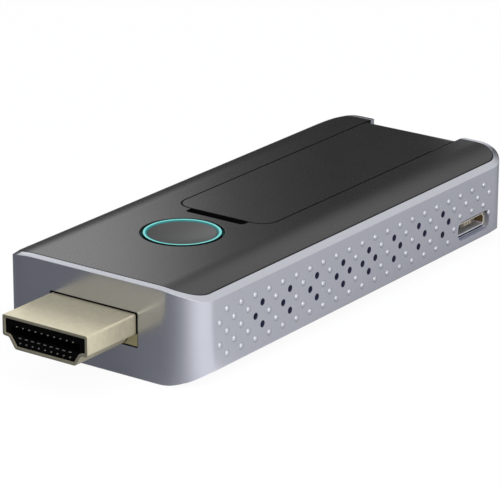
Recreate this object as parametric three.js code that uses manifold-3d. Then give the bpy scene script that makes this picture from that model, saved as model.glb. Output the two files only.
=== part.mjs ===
import * as THREE from 'three';
import { mergeVertices } from 'three/addons/utils/BufferGeometryUtils.js';
import Module from 'manifold-3d';

// A plug-in wireless video transmitter. Millimetres, X to the right, Y from the plug to the rear,
// Z up from the surface that it rests on, with the origin under the middle of the whole length.

// Silver frame
const bodyWidth = 32;
const bodyLength = 77;
const bodyHeight = 13;
const bodyCornerRadius = 4.8;
const crownWidth = 5.8;
const crownRadius = 10.7;
const frameWall = 1.7;
const rimWidth = 1.1;

// Covers set into the frame
const coverThickness = 1.2;
const coverRise = 0.2;
const seamGap = 0.12;

// Vents and studs on the long sides, in staggered rows with a dot for a stud and an o for a vent
const gridEndMargin = 5.845;
const gridRowPitch = 1.523;
const gridDrop = 0.08;
const ventRadius = 0.48;
const studRadius = 0.46;
const studHeight = 0.16;
const outerRow = '.....................';
const innerRow = '...o.o.o.o.o.o.o.o....';
const middleRow = '..o.o.o.oooo.o.o.o...';

// Plug
const plugReach = 10;
const plugRise = 0.15;
const plugWidth = 13.9;
const plugHeight = 4.45;
const plugSideHeight = 2.87;
const plugStepWidth = 1.05;
const plugFootWidth = 9.86;
const plugWall = 0.4;
const plugRoot = 6;
const plugOpeningWidth = 14.4;
const plugOpeningHeight = 4.8;
const plugFit = 0.1;
const collarSetback = 0.15;
const collarThickness = 0.8;
const collarOverlap = 1;
const insulatorSetback = 0.5;
const insulatorRoot = 5;
const tongueSlotWidth = 11.4;
const tongueSlotHeight = 1.6;
const tongueSlotDepth = 8;
const contactPitch = 1;
const contactWidth = 0.4;
const contactThickness = 0.25;
const contactSetback = 0.4;
const contactTail = 1.5;
const upperContacts = 10;
const lowerContacts = 9;
const plugLegLength = 3;
const plugLegDrop = 0.7;

// Main board
const boardDrop = 1.35;
const boardThickness = 1.2;
const boardSideGap = 0.7;
const boardRearSetback = 5.5;
const boardGap = 0.3;
const chipHeight = 0.7;
const videoChipSize = 9;
const radioChipSize = 7;
const memoryChipWidth = 6;
const memoryChipLength = 9;
const crystalWidth = 3.2;
const crystalLength = 2.5;
const inductorSize = 4;
const inductorHeight = 2;
const shieldCanSideGap = 1.8;
const shieldCanTopGap = 0.6;
const shieldCanLength = 15;
const shieldCanWall = 0.25;
const shieldCanAhead = 5;
const memoryChipInset = 4.8;
const memoryChipGap = 1;
const crystalInset = 4.6;
const crystalAhead = 3.5;
const inductorInset = 3.6;
const inductorAhead = 7;
const spreaderSideGap = 1.2;
const spreaderLength = 26;
const spreaderThickness = 1;
const spreaderCornerRadius = 1.5;

// Screws and the posts that they pass through
const screwInset = 3.1;
const rearScrewSetback = 18.5;
const postRadius = 1.9;
const screwRadius = 0.7;
const screwHeadRadius = 1.4;
const screwHeadHeight = 0.9;
const screwHeadRecess = 0.45;
const screwFit = 0.15;
const screwBite = 3.2;
const screwSlotWidth = 0.3;
const screwSlotDepth = 0.4;

// Micro USB inlet, on the right side
const portSetback = 10;
const portDrop = 0.07;
const portPocketFit = 0.15;
const portShellWidth = 7.5;
const portShellHeight = 2.5;
const portShellChamfer = 0.95;
const portShellWall = 0.25;
const portShellDepth = 5.2;
const portShellSetback = 0.25;
const portOpeningWidth = 8.3;
const portOpeningHeight = 2.8;
const portOpeningRadius = 0.7;
const portTongueWidth = 3.7;
const portTongueThickness = 0.6;
const portTongueSetback = 1.1;
const portTongueLow = -0.15;
const portBackThickness = 1.2;
const portContacts = 5;
const portContactPitch = 0.65;
const portContactWidth = 0.35;
const portContactThickness = 0.15;
const portContactSetback = 1.3;

// Round button with its light ring
const buttonAhead = 8.38;
const buttonStand = 0.1;
const buttonHoleRadius = 5.65;
const ringOuterRadius = 5.42;
const ringInnerRadius = 4.82;
const ringFlangeRadius = 6.05;
const ringFlangeThickness = 0.6;
const ringLedgeRadius = 4.3;
const ringLedgeDrop = 1.1;
const capRadius = 4.75;
const capDish = 0.2;
const dishShareHalfway = 0.75;
const capStemRadius = 1.5;
const buttonTravel = 0.3;
const buttonStopGap = 0.3;
const switchSize = 4.5;
const switchHeight = 3.5;
const switchCorner = 0.6;
const plungerRadius = 1.2;
const plungerStand = 0.9;
const plungerDepth = 1;
const plungerFit = 0.25;
const ledWidth = 1.6;
const ledLength = 0.8;
const ledHeight = 0.6;

// Flip-up antenna flap and its hinge, the hinge line along X
const flapWidth = 15.3;
const flapSetback = 27.75;
const flapThickness = 2.8;
const flapCornerRadius = 2.4;
const flapWall = 0.8;
const barrelRadius = 3.2;
const flapSideGap = 0.22;
const flapUnderGap = 0.3;
const barrelGap = 0.3;
const bayWall = 0.9;
const earThickness = 1.6;
const notchHalfWidth = 4.85;
const notchLength = 1.3;
const notchRadius = 0.6;
const notchWall = 0.5;
const pinRadius = 1;
const pinReach = 3;
const pinBore = 0.62;
const pinFit = 0.15;
const linerThickness = 0.6;
const linerSetback = 4.4;
const antennaBoardThickness = 0.5;
const antennaBoardMargin = 0.5;
const leadRadius = 0.4;
const leadGap = 0.3;
const connectorSize = 2.6;
const connectorHeight = 1.3;
const connectorSetback = 3;
const connectorInset = 1.1;

// Smoothness of curved faces, and how far a cutter runs past what it cuts
const arcSteps = 4;
const crownSteps = 3;
const smallHoleSides = 8;
const studSides = 6;
const roundSides = 20;
const buttonSides = 48;
const leadSides = 8;
const leadSteps = 4;
const overrun = 2;

// Places worked out from the sizes
const halfWidth = bodyWidth / 2;
const frontFace = (plugReach - bodyLength) / 2;
const rearFace = frontFace + bodyLength;
const topSkin = bodyHeight + coverRise;
const buttonTop = topSkin + buttonStand;
const gridHeight = bodyHeight / 2 - gridDrop;
const gridPitch = (bodyLength - gridEndMargin * 2) / (innerRow.length - 1);
const plugCentre = bodyHeight / 2 + plugRise;
const boardUnderside = plugCentre - boardDrop;
const boardTop = boardUnderside + boardThickness;
const boardHalfWidth = halfWidth - frameWall - boardSideGap;
const boardFrontSetback = plugRoot + boardGap;
const boardRear = rearFace - boardRearSetback;
const portCentre = rearFace - portSetback;
const portHeight = boardUnderside - portShellHeight / 2 - portDrop;
const hingeCentre = rearFace - barrelRadius;
const hingeHeight = topSkin - barrelRadius;
const bayHalfWidth = flapWidth / 2 + flapSideGap;
const bayFloor = topSkin - flapThickness - flapUnderGap;
const bayFront = frontFace + flapSetback - flapSideGap;
const flapLength = hingeCentre - frontFace - flapSetback;
const buttonCentre = bayFront - buttonAhead;
const wellRadius = barrelRadius + barrelGap;
const earOuterFace = bayHalfWidth + earThickness;
const wellBottom = hingeHeight - wellRadius - bayWall;
const plungerTop = boardTop + switchHeight + plungerStand;
const antennaBoardTop = barrelRadius - flapThickness + linerThickness + antennaBoardThickness;
const leadTurn = pinReach - flapWidth / 2 + leadRadius * 4;
const connectorCentre = hingeCentre - wellRadius - bayWall - connectorSetback - connectorSize;
const connectorOffset = connectorSize / 2 + connectorInset - boardHalfWidth;
const screwOffset = halfWidth - frameWall - screwInset;
const frontScrewSetback = plugRoot + plugLegLength + boardGap + postRadius;
const rearScrewCentre = rearFace - rearScrewSetback;
const shieldCanCentre = rearScrewCentre - shieldCanAhead;
const shieldCanFront = shieldCanCentre - shieldCanLength / 2;
const videoChipCentre = (buttonCentre + shieldCanCentre) / 2;
const shieldCanWidth = (screwOffset - postRadius - shieldCanSideGap) * 2;
const shieldCanHeight = bayFloor - bayWall - boardTop - shieldCanTopGap;
const screwPlaces = [-1, 1].flatMap((side) => [
  [side * screwOffset, frontFace + frontScrewSetback],
  [side * screwOffset, rearScrewCentre],
]);

const wasm = await Module();
wasm.setup();

// Turns a closed three.js geometry into a solid that can be joined and cut
function solid(geometry) {
  geometry.deleteAttribute('normal');
  geometry.deleteAttribute('uv');
  const merged = mergeVertices(geometry);
  return new wasm.Manifold(new wasm.Mesh({
    numProp: 3,
    vertProperties: Float32Array.from(merged.attributes.position.array),
    triVerts: Uint32Array.from(merged.index.array),
  }));
}

function geometryOf(body) {
  const mesh = body.getMesh();
  const geometry = new THREE.BufferGeometry();
  geometry.setAttribute('position', new THREE.BufferAttribute(mesh.vertProperties, 3));
  geometry.setIndex(new THREE.BufferAttribute(mesh.triVerts, 1));
  geometry.computeVertexNormals();
  return geometry;
}

function piece(name, body, material) {
  const mesh = new THREE.Mesh(geometryOf(body), material);
  mesh.name = name;
  return mesh;
}

function assembly(x, y, z, ...children) {
  const group = new THREE.Group();
  group.position.set(x, y, z);
  group.add(...children);
  return group;
}

function finish(color, roughness, metalness) {
  return new THREE.MeshStandardMaterial({ color, roughness, metalness });
}

const silver = finish(0xb4b7c0, 0.38, 0.75);
const charcoal = finish(0x3a3938, 0.42, 0);
const blackPlastic = finish(0x141414, 0.6, 0);
const gold = finish(0xc3bca2, 0.3, 1);
const contactGold = finish(0xd8b866, 0.25, 1);
const steel = finish(0xb9bbbf, 0.3, 1);
const turquoise = finish(0x5fd0c8, 0.35, 0);
const boardGreen = finish(0x1d4a36, 0.55, 0);
const chipBlack = finish(0x1b1c1f, 0.5, 0);
const softGrey = finish(0x9a9da3, 0.9, 0);
const ledWhite = finish(0xf2f2ea, 0.4, 0);
const leadBlack = finish(0x222222, 0.5, 0);

// Limits along one direction: about a middle, or between two ends in either order
function about(middle, size) {
  return [middle - size / 2, middle + size / 2];
}

function between(one, other) {
  return [Math.min(one, other), Math.max(one, other)];
}

// Basic solids, each given by its low and high limit along X, Y and Z
function block([left, right], [front, rear], [low, high]) {
  const geometry = new THREE.BoxGeometry(right - left, rear - front, high - low);
  geometry.translate((left + right) / 2, (front + rear) / 2, (low + high) / 2);
  return solid(geometry);
}

function post(radius, x, y, [low, high], sides = roundSides) {
  const geometry = new THREE.CylinderGeometry(radius, radius, high - low, sides);
  geometry.rotateX(Math.PI / 2);
  geometry.translate(x, y, (low + high) / 2);
  return solid(geometry);
}

function rod(radius, y, z, [left, right], sides = roundSides) {
  const geometry = new THREE.CylinderGeometry(radius, radius, right - left, sides);
  geometry.rotateZ(Math.PI / 2);
  geometry.translate((left + right) / 2, y, z);
  return solid(geometry);
}

// Extrusions of a flat outline: up along Z, along the length in Y, or across in X
function extruded(shape, depth, curveSegments) {
  return new THREE.ExtrudeGeometry(shape, { depth, bevelEnabled: false, curveSegments });
}

function upright(shape, [low, high], steps = arcSteps) {
  const geometry = extruded(shape, high - low, steps);
  geometry.translate(0, 0, low);
  return solid(geometry);
}

function lengthwise(shape, [front, rear], steps = arcSteps) {
  const geometry = extruded(shape, rear - front, steps);
  geometry.rotateX(Math.PI / 2);
  geometry.translate(0, rear, 0);
  return solid(geometry);
}

function crosswise(shape, [left, right], steps = arcSteps) {
  const geometry = extruded(shape, right - left, steps);
  const turn = new THREE.Matrix4().makeBasis(
    new THREE.Vector3(0, 1, 0), new THREE.Vector3(0, 0, 1), new THREE.Vector3(1, 0, 0));
  geometry.applyMatrix4(turn);
  geometry.translate(left, 0, 0);
  return solid(geometry);
}

// A solid of revolution about Z from a closed profile of radius and height
function turned(profile, sides = roundSides) {
  const points = profile.map(([radius, height]) => new THREE.Vector2(radius, height));
  const geometry = new THREE.LatheGeometry(points, sides);
  geometry.rotateX(Math.PI / 2);
  return solid(geometry);
}

function outline(points) {
  return new THREE.Shape(points.map(([x, y]) => new THREE.Vector2(x, y)));
}

function roundedPlan(half, front, rear, frontRadius, rearRadius = frontRadius) {
  const shape = new THREE.Shape();
  shape.absarc(half - frontRadius, front + frontRadius, frontRadius, -Math.PI / 2, 0);
  shape.absarc(half - rearRadius, rear - rearRadius, rearRadius, 0, Math.PI / 2);
  shape.absarc(rearRadius - half, rear - rearRadius, rearRadius, Math.PI / 2, Math.PI);
  shape.absarc(frontRadius - half, front + frontRadius, frontRadius, Math.PI, Math.PI * 1.5);
  return shape;
}

// The body's plan, drawn in from its edge all round
function bodyPlan(inset, heights) {
  const radius = bodyCornerRadius - inset;
  return upright(roundedPlan(halfWidth - inset, frontFace + inset, rearFace - inset, radius), heights);
}

// The body's cross-section, level in the middle and falling away to both sides above and below
function crownedBar(low, high) {
  const flat = halfWidth - crownWidth;
  const lean = Math.asin(crownWidth / crownRadius);
  const quarter = Math.PI / 2;
  const shape = new THREE.Shape();
  shape.absarc(flat, low + crownRadius, crownRadius, -quarter, lean - quarter);
  shape.absarc(flat, high - crownRadius, crownRadius, quarter - lean, quarter);
  shape.absarc(-flat, high - crownRadius, crownRadius, quarter, quarter + lean);
  shape.absarc(-flat, low + crownRadius, crownRadius, -quarter - lean, -quarter);
  return lengthwise(shape, [frontFace - overrun, rearFace + overrun], crownSteps);
}

// The plug's D-shaped outline in X and Z about its own centre, grown or shrunk by an even amount
function plugOutline(grow) {
  const half = plugWidth / 2;
  const top = plugHeight / 2;
  const shoulder = top - plugSideHeight;
  const foot = plugFootWidth / 2;
  const stepIn = half - plugStepWidth;
  const slope = (stepIn - foot) / (shoulder + top);
  const slant = grow * Math.hypot(1, slope);
  const right = [
    [half + grow, top + grow],
    [half + grow, shoulder - grow],
    [stepIn + slant - slope * grow, shoulder - grow],
    [foot + slant - slope * grow, -top - grow],
  ];
  const left = right.map(([x, z]) => [-x, z]).reverse();
  return outline([...right, ...left].reverse());
}

// The inlet's outline in Y and Z about its own centre, with its two upper corners cut off
function portOutline(grow) {
  const half = portShellWidth / 2 + grow;
  const top = portShellHeight / 2 + grow;
  const cut = portShellChamfer;
  return outline([[-half, -top], [half, -top], [half, top - cut], [half - cut, top], [cut - half, top],
    [-half, top - cut]]);
}

// Places of the side grid as length along the body, height, and whether it is a vent
function gridPlaces() {
  const rows = [outerRow, innerRow, middleRow, innerRow, outerRow];
  const middle = (frontFace + rearFace) / 2;
  return rows.flatMap((signs, row) => [...signs].map((sign, column) => ({
    y: middle + (column - (signs.length - 1) / 2) * gridPitch,
    z: gridHeight + (row - (rows.length - 1) / 2) * gridRowPitch,
    vent: sign === 'o',
  })));
}

function nearPort({ y, z }) {
  const clearLength = portOpeningWidth / 2 + studHeight;
  const clearHeight = portOpeningHeight / 2 + studRadius;
  return Math.abs(y - portCentre) < clearLength && Math.abs(z - portHeight) < clearHeight;
}

function stud(side, { y, z }) {
  const geometry = new THREE.ConeGeometry(studRadius * 2, studHeight * 2, studSides);
  geometry.rotateZ(-side * Math.PI / 2);
  geometry.translate(side * halfWidth, y, z);
  return solid(geometry);
}

function portHole() {
  const high = portOpeningHeight / 2;
  const shape = roundedPlan(portOpeningWidth / 2, -high, high, portOpeningRadius);
  return crosswise(shape, [halfWidth - frameWall - overrun, halfWidth + overrun])
    .translate([0, portCentre, portHeight]);
}

function makeHousing() {
  const half = bodyHeight / 2;
  const topLedge = bodyHeight - coverThickness - seamGap;
  const bottomLedge = coverThickness + seamGap;
  const topRecess = bodyPlan(rimWidth, [half, bodyHeight + overrun])
    .subtract(crownedBar(-half, topLedge));
  const bottomRecess = bodyPlan(rimWidth, [-overrun, half])
    .subtract(crownedBar(bottomLedge, bodyHeight + half));
  let body = bodyPlan(0, [0, bodyHeight])
    .intersect(crownedBar(0, bodyHeight))
    .subtract(bodyPlan(frameWall, [-overrun, bodyHeight + overrun]))
    .subtract(topRecess)
    .subtract(bottomRecess);
  const plugHole = block(
    about(0, plugOpeningWidth),
    [frontFace - overrun, frontFace + frameWall + overrun],
    about(plugCentre, plugOpeningHeight));
  const rearNotch = block(
    [-bayHalfWidth, bayHalfWidth],
    [rearFace - frameWall - overrun, rearFace + overrun],
    [hingeHeight - wellRadius, bodyHeight + overrun]);
  body = body.subtract(plugHole).subtract(rearNotch).subtract(portHole());
  for (const side of [-1, 1]) {
    const through = between(side * (halfWidth + overrun), side * (halfWidth - frameWall - overrun));
    for (const place of gridPlaces()) {
      if (place.vent) {
        body = body.subtract(rod(ventRadius, place.y, place.z, through, smallHoleSides));
      } else if (side < 0 || !nearPort(place)) {
        body = body.add(stud(side, place));
      }
    }
  }
  return piece('housing', body, silver);
}

function bayCutter() {
  const plan = roundedPlan(bayHalfWidth, bayFront, rearFace + overrun * 2, flapCornerRadius + flapSideGap);
  const notch = roundedPlan(notchHalfWidth, bayFront - notchLength, bayFront + overrun, notchRadius);
  const over = topSkin + overrun;
  return upright(plan, [bayFloor, over])
    .add(upright(notch, [bayFloor, over]))
    .add(rod(wellRadius, hingeCentre, hingeHeight, [-bayHalfWidth, bayHalfWidth], roundSides * 2))
    .add(block([-bayHalfWidth, bayHalfWidth], [hingeCentre, rearFace + overrun], [hingeHeight, over]));
}

function bayShell() {
  const inner = rearFace - frameWall - seamGap;
  const skinMiddle = bodyHeight - coverThickness / 2;
  const plan = roundedPlan(bayHalfWidth + bayWall, bayFront - bayWall, inner, flapCornerRadius, bayWall);
  const notchFront = bayFront - notchLength - notchWall;
  const notch = roundedPlan(notchHalfWidth + notchWall, notchFront, bayFront, notchWall);
  const well = block([-earOuterFace, earOuterFace], [hingeCentre - wellRadius - bayWall, inner],
    [wellBottom, skinMiddle]);
  return upright(plan, [bayFloor - bayWall, skinMiddle])
    .add(upright(notch, [bayFloor - bayWall, skinMiddle]))
    .add(well);
}

function makeTopCover() {
  const inset = rimWidth + seamGap;
  const slab = bodyPlan(inset, [bodyHeight / 2, topSkin + overrun])
    .intersect(crownedBar(-bodyHeight, topSkin))
    .subtract(crownedBar(-bodyHeight, bodyHeight - coverThickness));
  let body = slab.add(bayShell());
  for (const [x, y] of screwPlaces) {
    body = body.add(post(postRadius, x, y, [boardTop, bodyHeight - coverThickness / 2]));
  }
  body = body.subtract(bayCutter())
    .subtract(post(buttonHoleRadius, 0, buttonCentre, [boardTop, topSkin + overrun], buttonSides));
  for (const side of [-1, 1]) {
    const through = between(side * (bayHalfWidth - overrun), side * (earOuterFace + overrun));
    body = body.subtract(rod(pinRadius + pinFit, hingeCentre, hingeHeight, through));
  }
  const holeHeights = [boardTop - overrun, boardTop + screwBite + screwFit];
  for (const [x, y] of screwPlaces) {
    body = body.subtract(post(screwRadius + screwFit, x, y, holeHeights));
  }
  return piece('top_cover', body, charcoal);
}

function makeBottomCover() {
  const inset = rimWidth + seamGap;
  const portEnd = -portShellSetback - portShellDepth - portPocketFit;
  const portPocket = crosswise(portOutline(portPocketFit), [portEnd, 0])
    .translate([halfWidth, portCentre, portHeight]);
  let body = bodyPlan(inset, [-overrun, bodyHeight / 2])
    .intersect(crownedBar(0, bodyHeight * 2))
    .subtract(crownedBar(coverThickness, bodyHeight * 2));
  for (const [x, y] of screwPlaces) {
    body = body.add(post(postRadius, x, y, [coverThickness / 2, boardUnderside]));
  }
  const headTop = screwHeadRecess + screwHeadHeight + screwFit;
  for (const [x, y] of screwPlaces) {
    body = body.subtract(post(screwHeadRadius + screwFit, x, y, [-overrun, headTop]))
      .subtract(post(screwRadius + screwFit, x, y, [-overrun, boardUnderside + overrun]));
  }
  body = body.subtract(portPocket);
  return piece('bottom_cover', body, charcoal);
}

function makeScrews() {
  const headTop = screwHeadRecess + screwHeadHeight;
  const slotTop = screwHeadRecess + screwSlotDepth;
  const along = about(0, screwHeadRadius * 2);
  const across = about(0, screwSlotWidth);
  return screwPlaces.map(([x, y], index) => {
    const body = post(screwHeadRadius, 0, 0, [screwHeadRecess, headTop])
      .add(post(screwRadius, 0, 0, [slotTop, boardTop + screwBite], smallHoleSides))
      .subtract(block(along, across, [screwHeadRecess - overrun, slotTop]))
      .subtract(block(across, along, [screwHeadRecess - overrun, slotTop]));
    const screw = piece(`cover_screw_${index + 1}`, body, steel);
    screw.position.set(x, y, 0);
    return screw;
  });
}

// The board and what is soldered to it, with the board's underside at height zero
function makeMainBoard() {
  const wellHalf = earOuterFace + boardGap;
  const wellFront = hingeCentre - wellRadius - bayWall - boardGap;
  const through = [-overrun, boardThickness + overrun];
  const boardFront = frontFace + boardFrontSetback;
  const legSlot = [boardFront - overrun, frontFace + plugRoot + plugLegLength + boardGap];
  let body = block(about(0, boardHalfWidth * 2), [boardFront, boardRear], [0, boardThickness])
    .subtract(block([-wellHalf, wellHalf], [wellFront, boardRear + overrun], through));
  for (const side of [-1, 1]) {
    const leg = side * (plugWidth - plugWall) / 2;
    body = body.subtract(block(about(leg, plugWall + boardGap * 2), legSlot, through));
  }
  for (const [x, y] of screwPlaces) {
    body = body.subtract(post(screwRadius + screwFit, x, y, through));
  }
  return piece('main_board', body, boardGreen);
}

function chip(name, [width, length, height], [x, y, low], material = chipBlack) {
  return piece(name, block(about(x, width), about(y, length), [low, low + height]), material);
}

function makeShieldCan() {
  const top = boardThickness + shieldCanHeight;
  const walls = shieldCanWall * 2;
  const lengths = about(shieldCanCentre, shieldCanLength);
  const outer = block(about(0, shieldCanWidth), lengths, [boardThickness, top]);
  const inner = block(about(0, shieldCanWidth - walls), about(shieldCanCentre, shieldCanLength - walls),
    [boardThickness - overrun, top - shieldCanWall]);
  return piece('shield_can', outer.subtract(inner), steel);
}

function makeHeatSpreader() {
  const [front, rear] = about(videoChipCentre, spreaderLength);
  const plan = roundedPlan(halfWidth - crownWidth - spreaderSideGap, front, rear, spreaderCornerRadius);
  const low = coverThickness - boardUnderside;
  return piece('heat_spreader', upright(plan, [low, low + spreaderThickness]), steel);
}

function boardParts() {
  const padLow = coverThickness + spreaderThickness - boardUnderside;
  const padSize = [videoChipSize, videoChipSize, -chipHeight - padLow];
  const memoryChipCentre = shieldCanFront - memoryChipGap - memoryChipLength / 2;
  return [
    makeMainBoard(),
    chip('video_chip', [videoChipSize, videoChipSize, chipHeight], [0, videoChipCentre, -chipHeight]),
    chip('thermal_pad', padSize, [0, videoChipCentre, padLow], softGrey),
    chip('radio_chip', [radioChipSize, radioChipSize, chipHeight], [0, shieldCanCentre, boardThickness]),
    chip('memory_chip', [memoryChipWidth, memoryChipLength, chipHeight],
      [boardHalfWidth - memoryChipInset, memoryChipCentre, boardThickness]),
    chip('crystal', [crystalWidth, crystalLength, chipHeight],
      [crystalInset - boardHalfWidth, shieldCanFront - crystalAhead, boardThickness], steel),
    chip('inductor', [inductorSize, inductorSize, inductorHeight],
      [boardHalfWidth - inductorInset, rearScrewCentre - inductorAhead, -inductorHeight]),
    makeShieldCan(),
    makeHeatSpreader(),
    ...[-1, 1].map((side, index) => chip(`ring_led_${index + 1}`, [ledLength, ledWidth, ledHeight],
      [side * (ringOuterRadius + ringInnerRadius) / 2, buttonCentre, boardThickness], ledWhite)),
  ];
}

// The plug, about its own centre on the frame's front face
function contactStrip(name, x, level, boardFace, side) {
  const start = contactSetback + insulatorSetback - plugReach;
  const bend = insulatorRoot + contactThickness * 2;
  const tail = boardFrontSetback + contactThickness;
  const end = tail + contactTail;
  const farLevel = level + side * contactThickness;
  const farFace = boardFace + side * contactThickness;
  const shape = outline([
    [start, level], [bend, level], [tail, boardFace], [end, boardFace],
    [end, farFace], [tail, farFace], [bend, farLevel], [start, farLevel],
  ]);
  return piece(name, crosswise(shape, about(x, contactWidth)), contactGold);
}

function plugContacts() {
  const topFace = boardTop - plugCentre;
  const underFace = boardUnderside - plugCentre;
  const contacts = [];
  for (let index = 0; index < upperContacts + lowerContacts; index += 1) {
    const name = `hdmi_contact_${String(index + 1).padStart(2, '0')}`;
    const x = (index - (upperContacts + lowerContacts - 1) / 2) * contactPitch / 2;
    const upper = index % 2 === 0;
    contacts.push(upper
      ? contactStrip(name, x, tongueSlotHeight / 2, topFace, 1)
      : contactStrip(name, x, -tongueSlotHeight / 2, underFace, -1));
  }
  return contacts;
}

function makePlugShell() {
  const hollow = lengthwise(plugOutline(-plugWall), [-plugReach - overrun, plugRoot + overrun]);
  let body = lengthwise(plugOutline(0), [-plugReach, plugRoot]).subtract(hollow);
  const legHeights = [boardUnderside - plugCentre - plugLegDrop, plugHeight / 2 - plugWall];
  for (const side of [-1, 1]) {
    const leg = side * (plugWidth - plugWall) / 2;
    body = body.add(block(about(leg, plugWall), about(plugRoot, plugLegLength * 2), legHeights));
  }
  return piece('hdmi_shell', body, gold);
}

function makeCollar() {
  const plateFront = frameWall + seamGap;
  const plateRear = plateFront + collarThickness;
  const cornerHeights = [seamGap - plugOpeningHeight / 2, plugHeight / 2 - plugSideHeight - plugFit];
  const cornerWidths = about(0, plugOpeningWidth - seamGap * 2);
  const plateWidths = about(0, plugOpeningWidth + collarOverlap * 2);
  const plateHeights = about(0, plugOpeningHeight + collarOverlap * 2);
  const body = block(plateWidths, [plateFront, plateRear], plateHeights)
    .add(block(cornerWidths, [collarSetback, plateRear], cornerHeights))
    .subtract(lengthwise(plugOutline(plugFit), [-overrun, plateRear + overrun]));
  return piece('hdmi_collar', body, gold);
}

function makeInsulator() {
  const front = insulatorSetback - plugReach;
  const channelHeight = tongueSlotHeight / 2 + contactThickness + plugFit;
  const slot = block(about(0, tongueSlotWidth), [front - overrun, front + tongueSlotDepth],
    about(0, tongueSlotHeight));
  let body = lengthwise(plugOutline(-plugWall - plugFit), [front, insulatorRoot]).subtract(slot);
  for (const side of [-1, 1]) {
    const count = side > 0 ? upperContacts : lowerContacts;
    const width = (count - 1) * contactPitch + contactWidth + plugFit * 2;
    const heights = between(side * (tongueSlotHeight / 2 - plugFit), side * channelHeight);
    body = body.subtract(block(about(0, width), [front - overrun, insulatorRoot + overrun], heights));
  }
  return piece('hdmi_insulator', body, blackPlastic);
}

// The micro USB inlet, about its centre on the right side face, running inwards along -X
function makePortShell() {
  const front = -portShellSetback;
  const rear = front - portShellDepth;
  const body = crosswise(portOutline(0), [rear, front])
    .subtract(crosswise(portOutline(-portShellWall), [rear - overrun, front + overrun]));
  return piece('usb_shell', body, steel);
}

function makePortTongue() {
  const rear = -portShellSetback - portShellDepth;
  const heights = [portTongueLow, portTongueLow + portTongueThickness];
  const body = crosswise(portOutline(-portShellWall - plugFit), [rear, rear + portBackThickness])
    .add(block([rear, -portTongueSetback], about(0, portTongueWidth), heights));
  return piece('usb_tongue', body, blackPlastic);
}

function portContactStrips() {
  const rear = portBackThickness - portShellSetback - portShellDepth;
  const heights = [portTongueLow - portContactThickness, portTongueLow];
  return Array.from({ length: portContacts }, (unused, index) => {
    const y = (index - (portContacts - 1) / 2) * portContactPitch;
    return piece(`usb_contact_${index + 1}`,
      block([rear, -portContactSetback], about(y, portContactWidth), heights), contactGold);
  });
}

// The button, about the line that it moves on, with heights from the table
function makeButtonRing() {
  const ledge = buttonTop - ringLedgeDrop;
  const flangeTop = bodyHeight - coverThickness - buttonStopGap;
  const low = flangeTop - ringFlangeThickness;
  return piece('button_ring', turned([
    [ringInnerRadius, buttonTop], [ringInnerRadius, ledge], [ringLedgeRadius, ledge],
    [ringLedgeRadius, low], [ringFlangeRadius, low], [ringFlangeRadius, flangeTop],
    [ringOuterRadius, flangeTop], [ringOuterRadius, buttonTop], [ringInnerRadius, buttonTop],
  ], buttonSides), turquoise);
}

function makeButtonCap() {
  const ledge = buttonTop - ringLedgeDrop;
  return piece('button_cap', turned([
    [0, plungerTop], [capStemRadius, plungerTop], [capStemRadius, ledge],
    [capRadius, ledge], [capRadius, buttonTop],
    [capRadius / 2, buttonTop - capDish * dishShareHalfway], [0, buttonTop - capDish],
  ], buttonSides), charcoal);
}

function makeSwitchPlunger() {
  const low = plungerTop - plungerStand - plungerDepth;
  return piece('switch_plunger', post(plungerRadius, 0, 0, [low, plungerTop]), blackPlastic);
}

function makeSwitchBase() {
  const top = boardTop + switchHeight;
  const half = switchSize / 2;
  const cut = switchCorner;
  const plan = outline([[cut - half, -half], [half - cut, -half], [half, cut - half], [half, half - cut],
    [half - cut, half], [cut - half, half], [-half, half - cut], [-half, cut - half]]);
  const wellLow = top - plungerDepth - buttonTravel - plungerFit;
  const body = upright(plan, [boardTop, top])
    .subtract(post(plungerRadius + plungerFit, 0, 0, [wellLow, top + overrun]));
  return piece('switch_base', body, steel);
}

// The flap and its hinge, about the hinge line
function makeFlap() {
  const half = flapWidth / 2;
  const top = barrelRadius;
  const under = top - flapThickness;
  const plan = roundedPlan(half, -flapLength, barrelRadius * 2, flapCornerRadius);
  const pocketRadius = flapCornerRadius - flapWall;
  const pocket = roundedPlan(half - flapWall, flapWall - flapLength, -linerSetback, pocketRadius);
  const boreStart = half - pinReach - pinFit;
  let body = block([-half, half], [-flapLength, 0], [under, top])
    .intersect(upright(plan, [under, top]))
    .add(rod(barrelRadius, 0, 0, [-half, half], roundSides * 2))
    .subtract(upright(pocket, [under - overrun, top - flapWall]));
  for (const end of [-1, 1]) {
    body = body.subtract(rod(pinRadius + pinFit, 0, 0, between(end * boreStart, end * (half + overrun))));
  }
  return piece('antenna_flap', body.subtract(leadChannel()), charcoal);
}

// Room for the lead inside the barrel, from the hollow pin to the flap's pocket
function leadChannel() {
  const inner = flapWidth / 2 - pinReach - pinFit;
  const room = leadRadius + leadGap;
  const rise = antennaBoardTop + leadRadius + leadGap * 2;
  return block([-inner - leadGap, leadTurn + room], [-room, room], [-room, room])
    .add(block(about(leadTurn, room * 2), [-linerSetback - leadGap, room], [-room, rise]));
}

function makeLiner() {
  const edge = flapWall + seamGap;
  const under = barrelRadius - flapThickness;
  const rear = -linerSetback - seamGap;
  const plan = roundedPlan(flapWidth / 2 - edge, edge - flapLength, rear, flapCornerRadius - edge);
  return piece('flap_liner', upright(plan, [under, under + linerThickness]), blackPlastic);
}

function makeAntennaBoard() {
  const edge = flapWall + antennaBoardMargin;
  const ends = [edge - flapLength, -linerSetback - antennaBoardMargin];
  const heights = [antennaBoardTop - antennaBoardThickness, antennaBoardTop];
  return piece('antenna_board', block(about(0, flapWidth - edge * 2), ends, heights), boardGreen);
}

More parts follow.
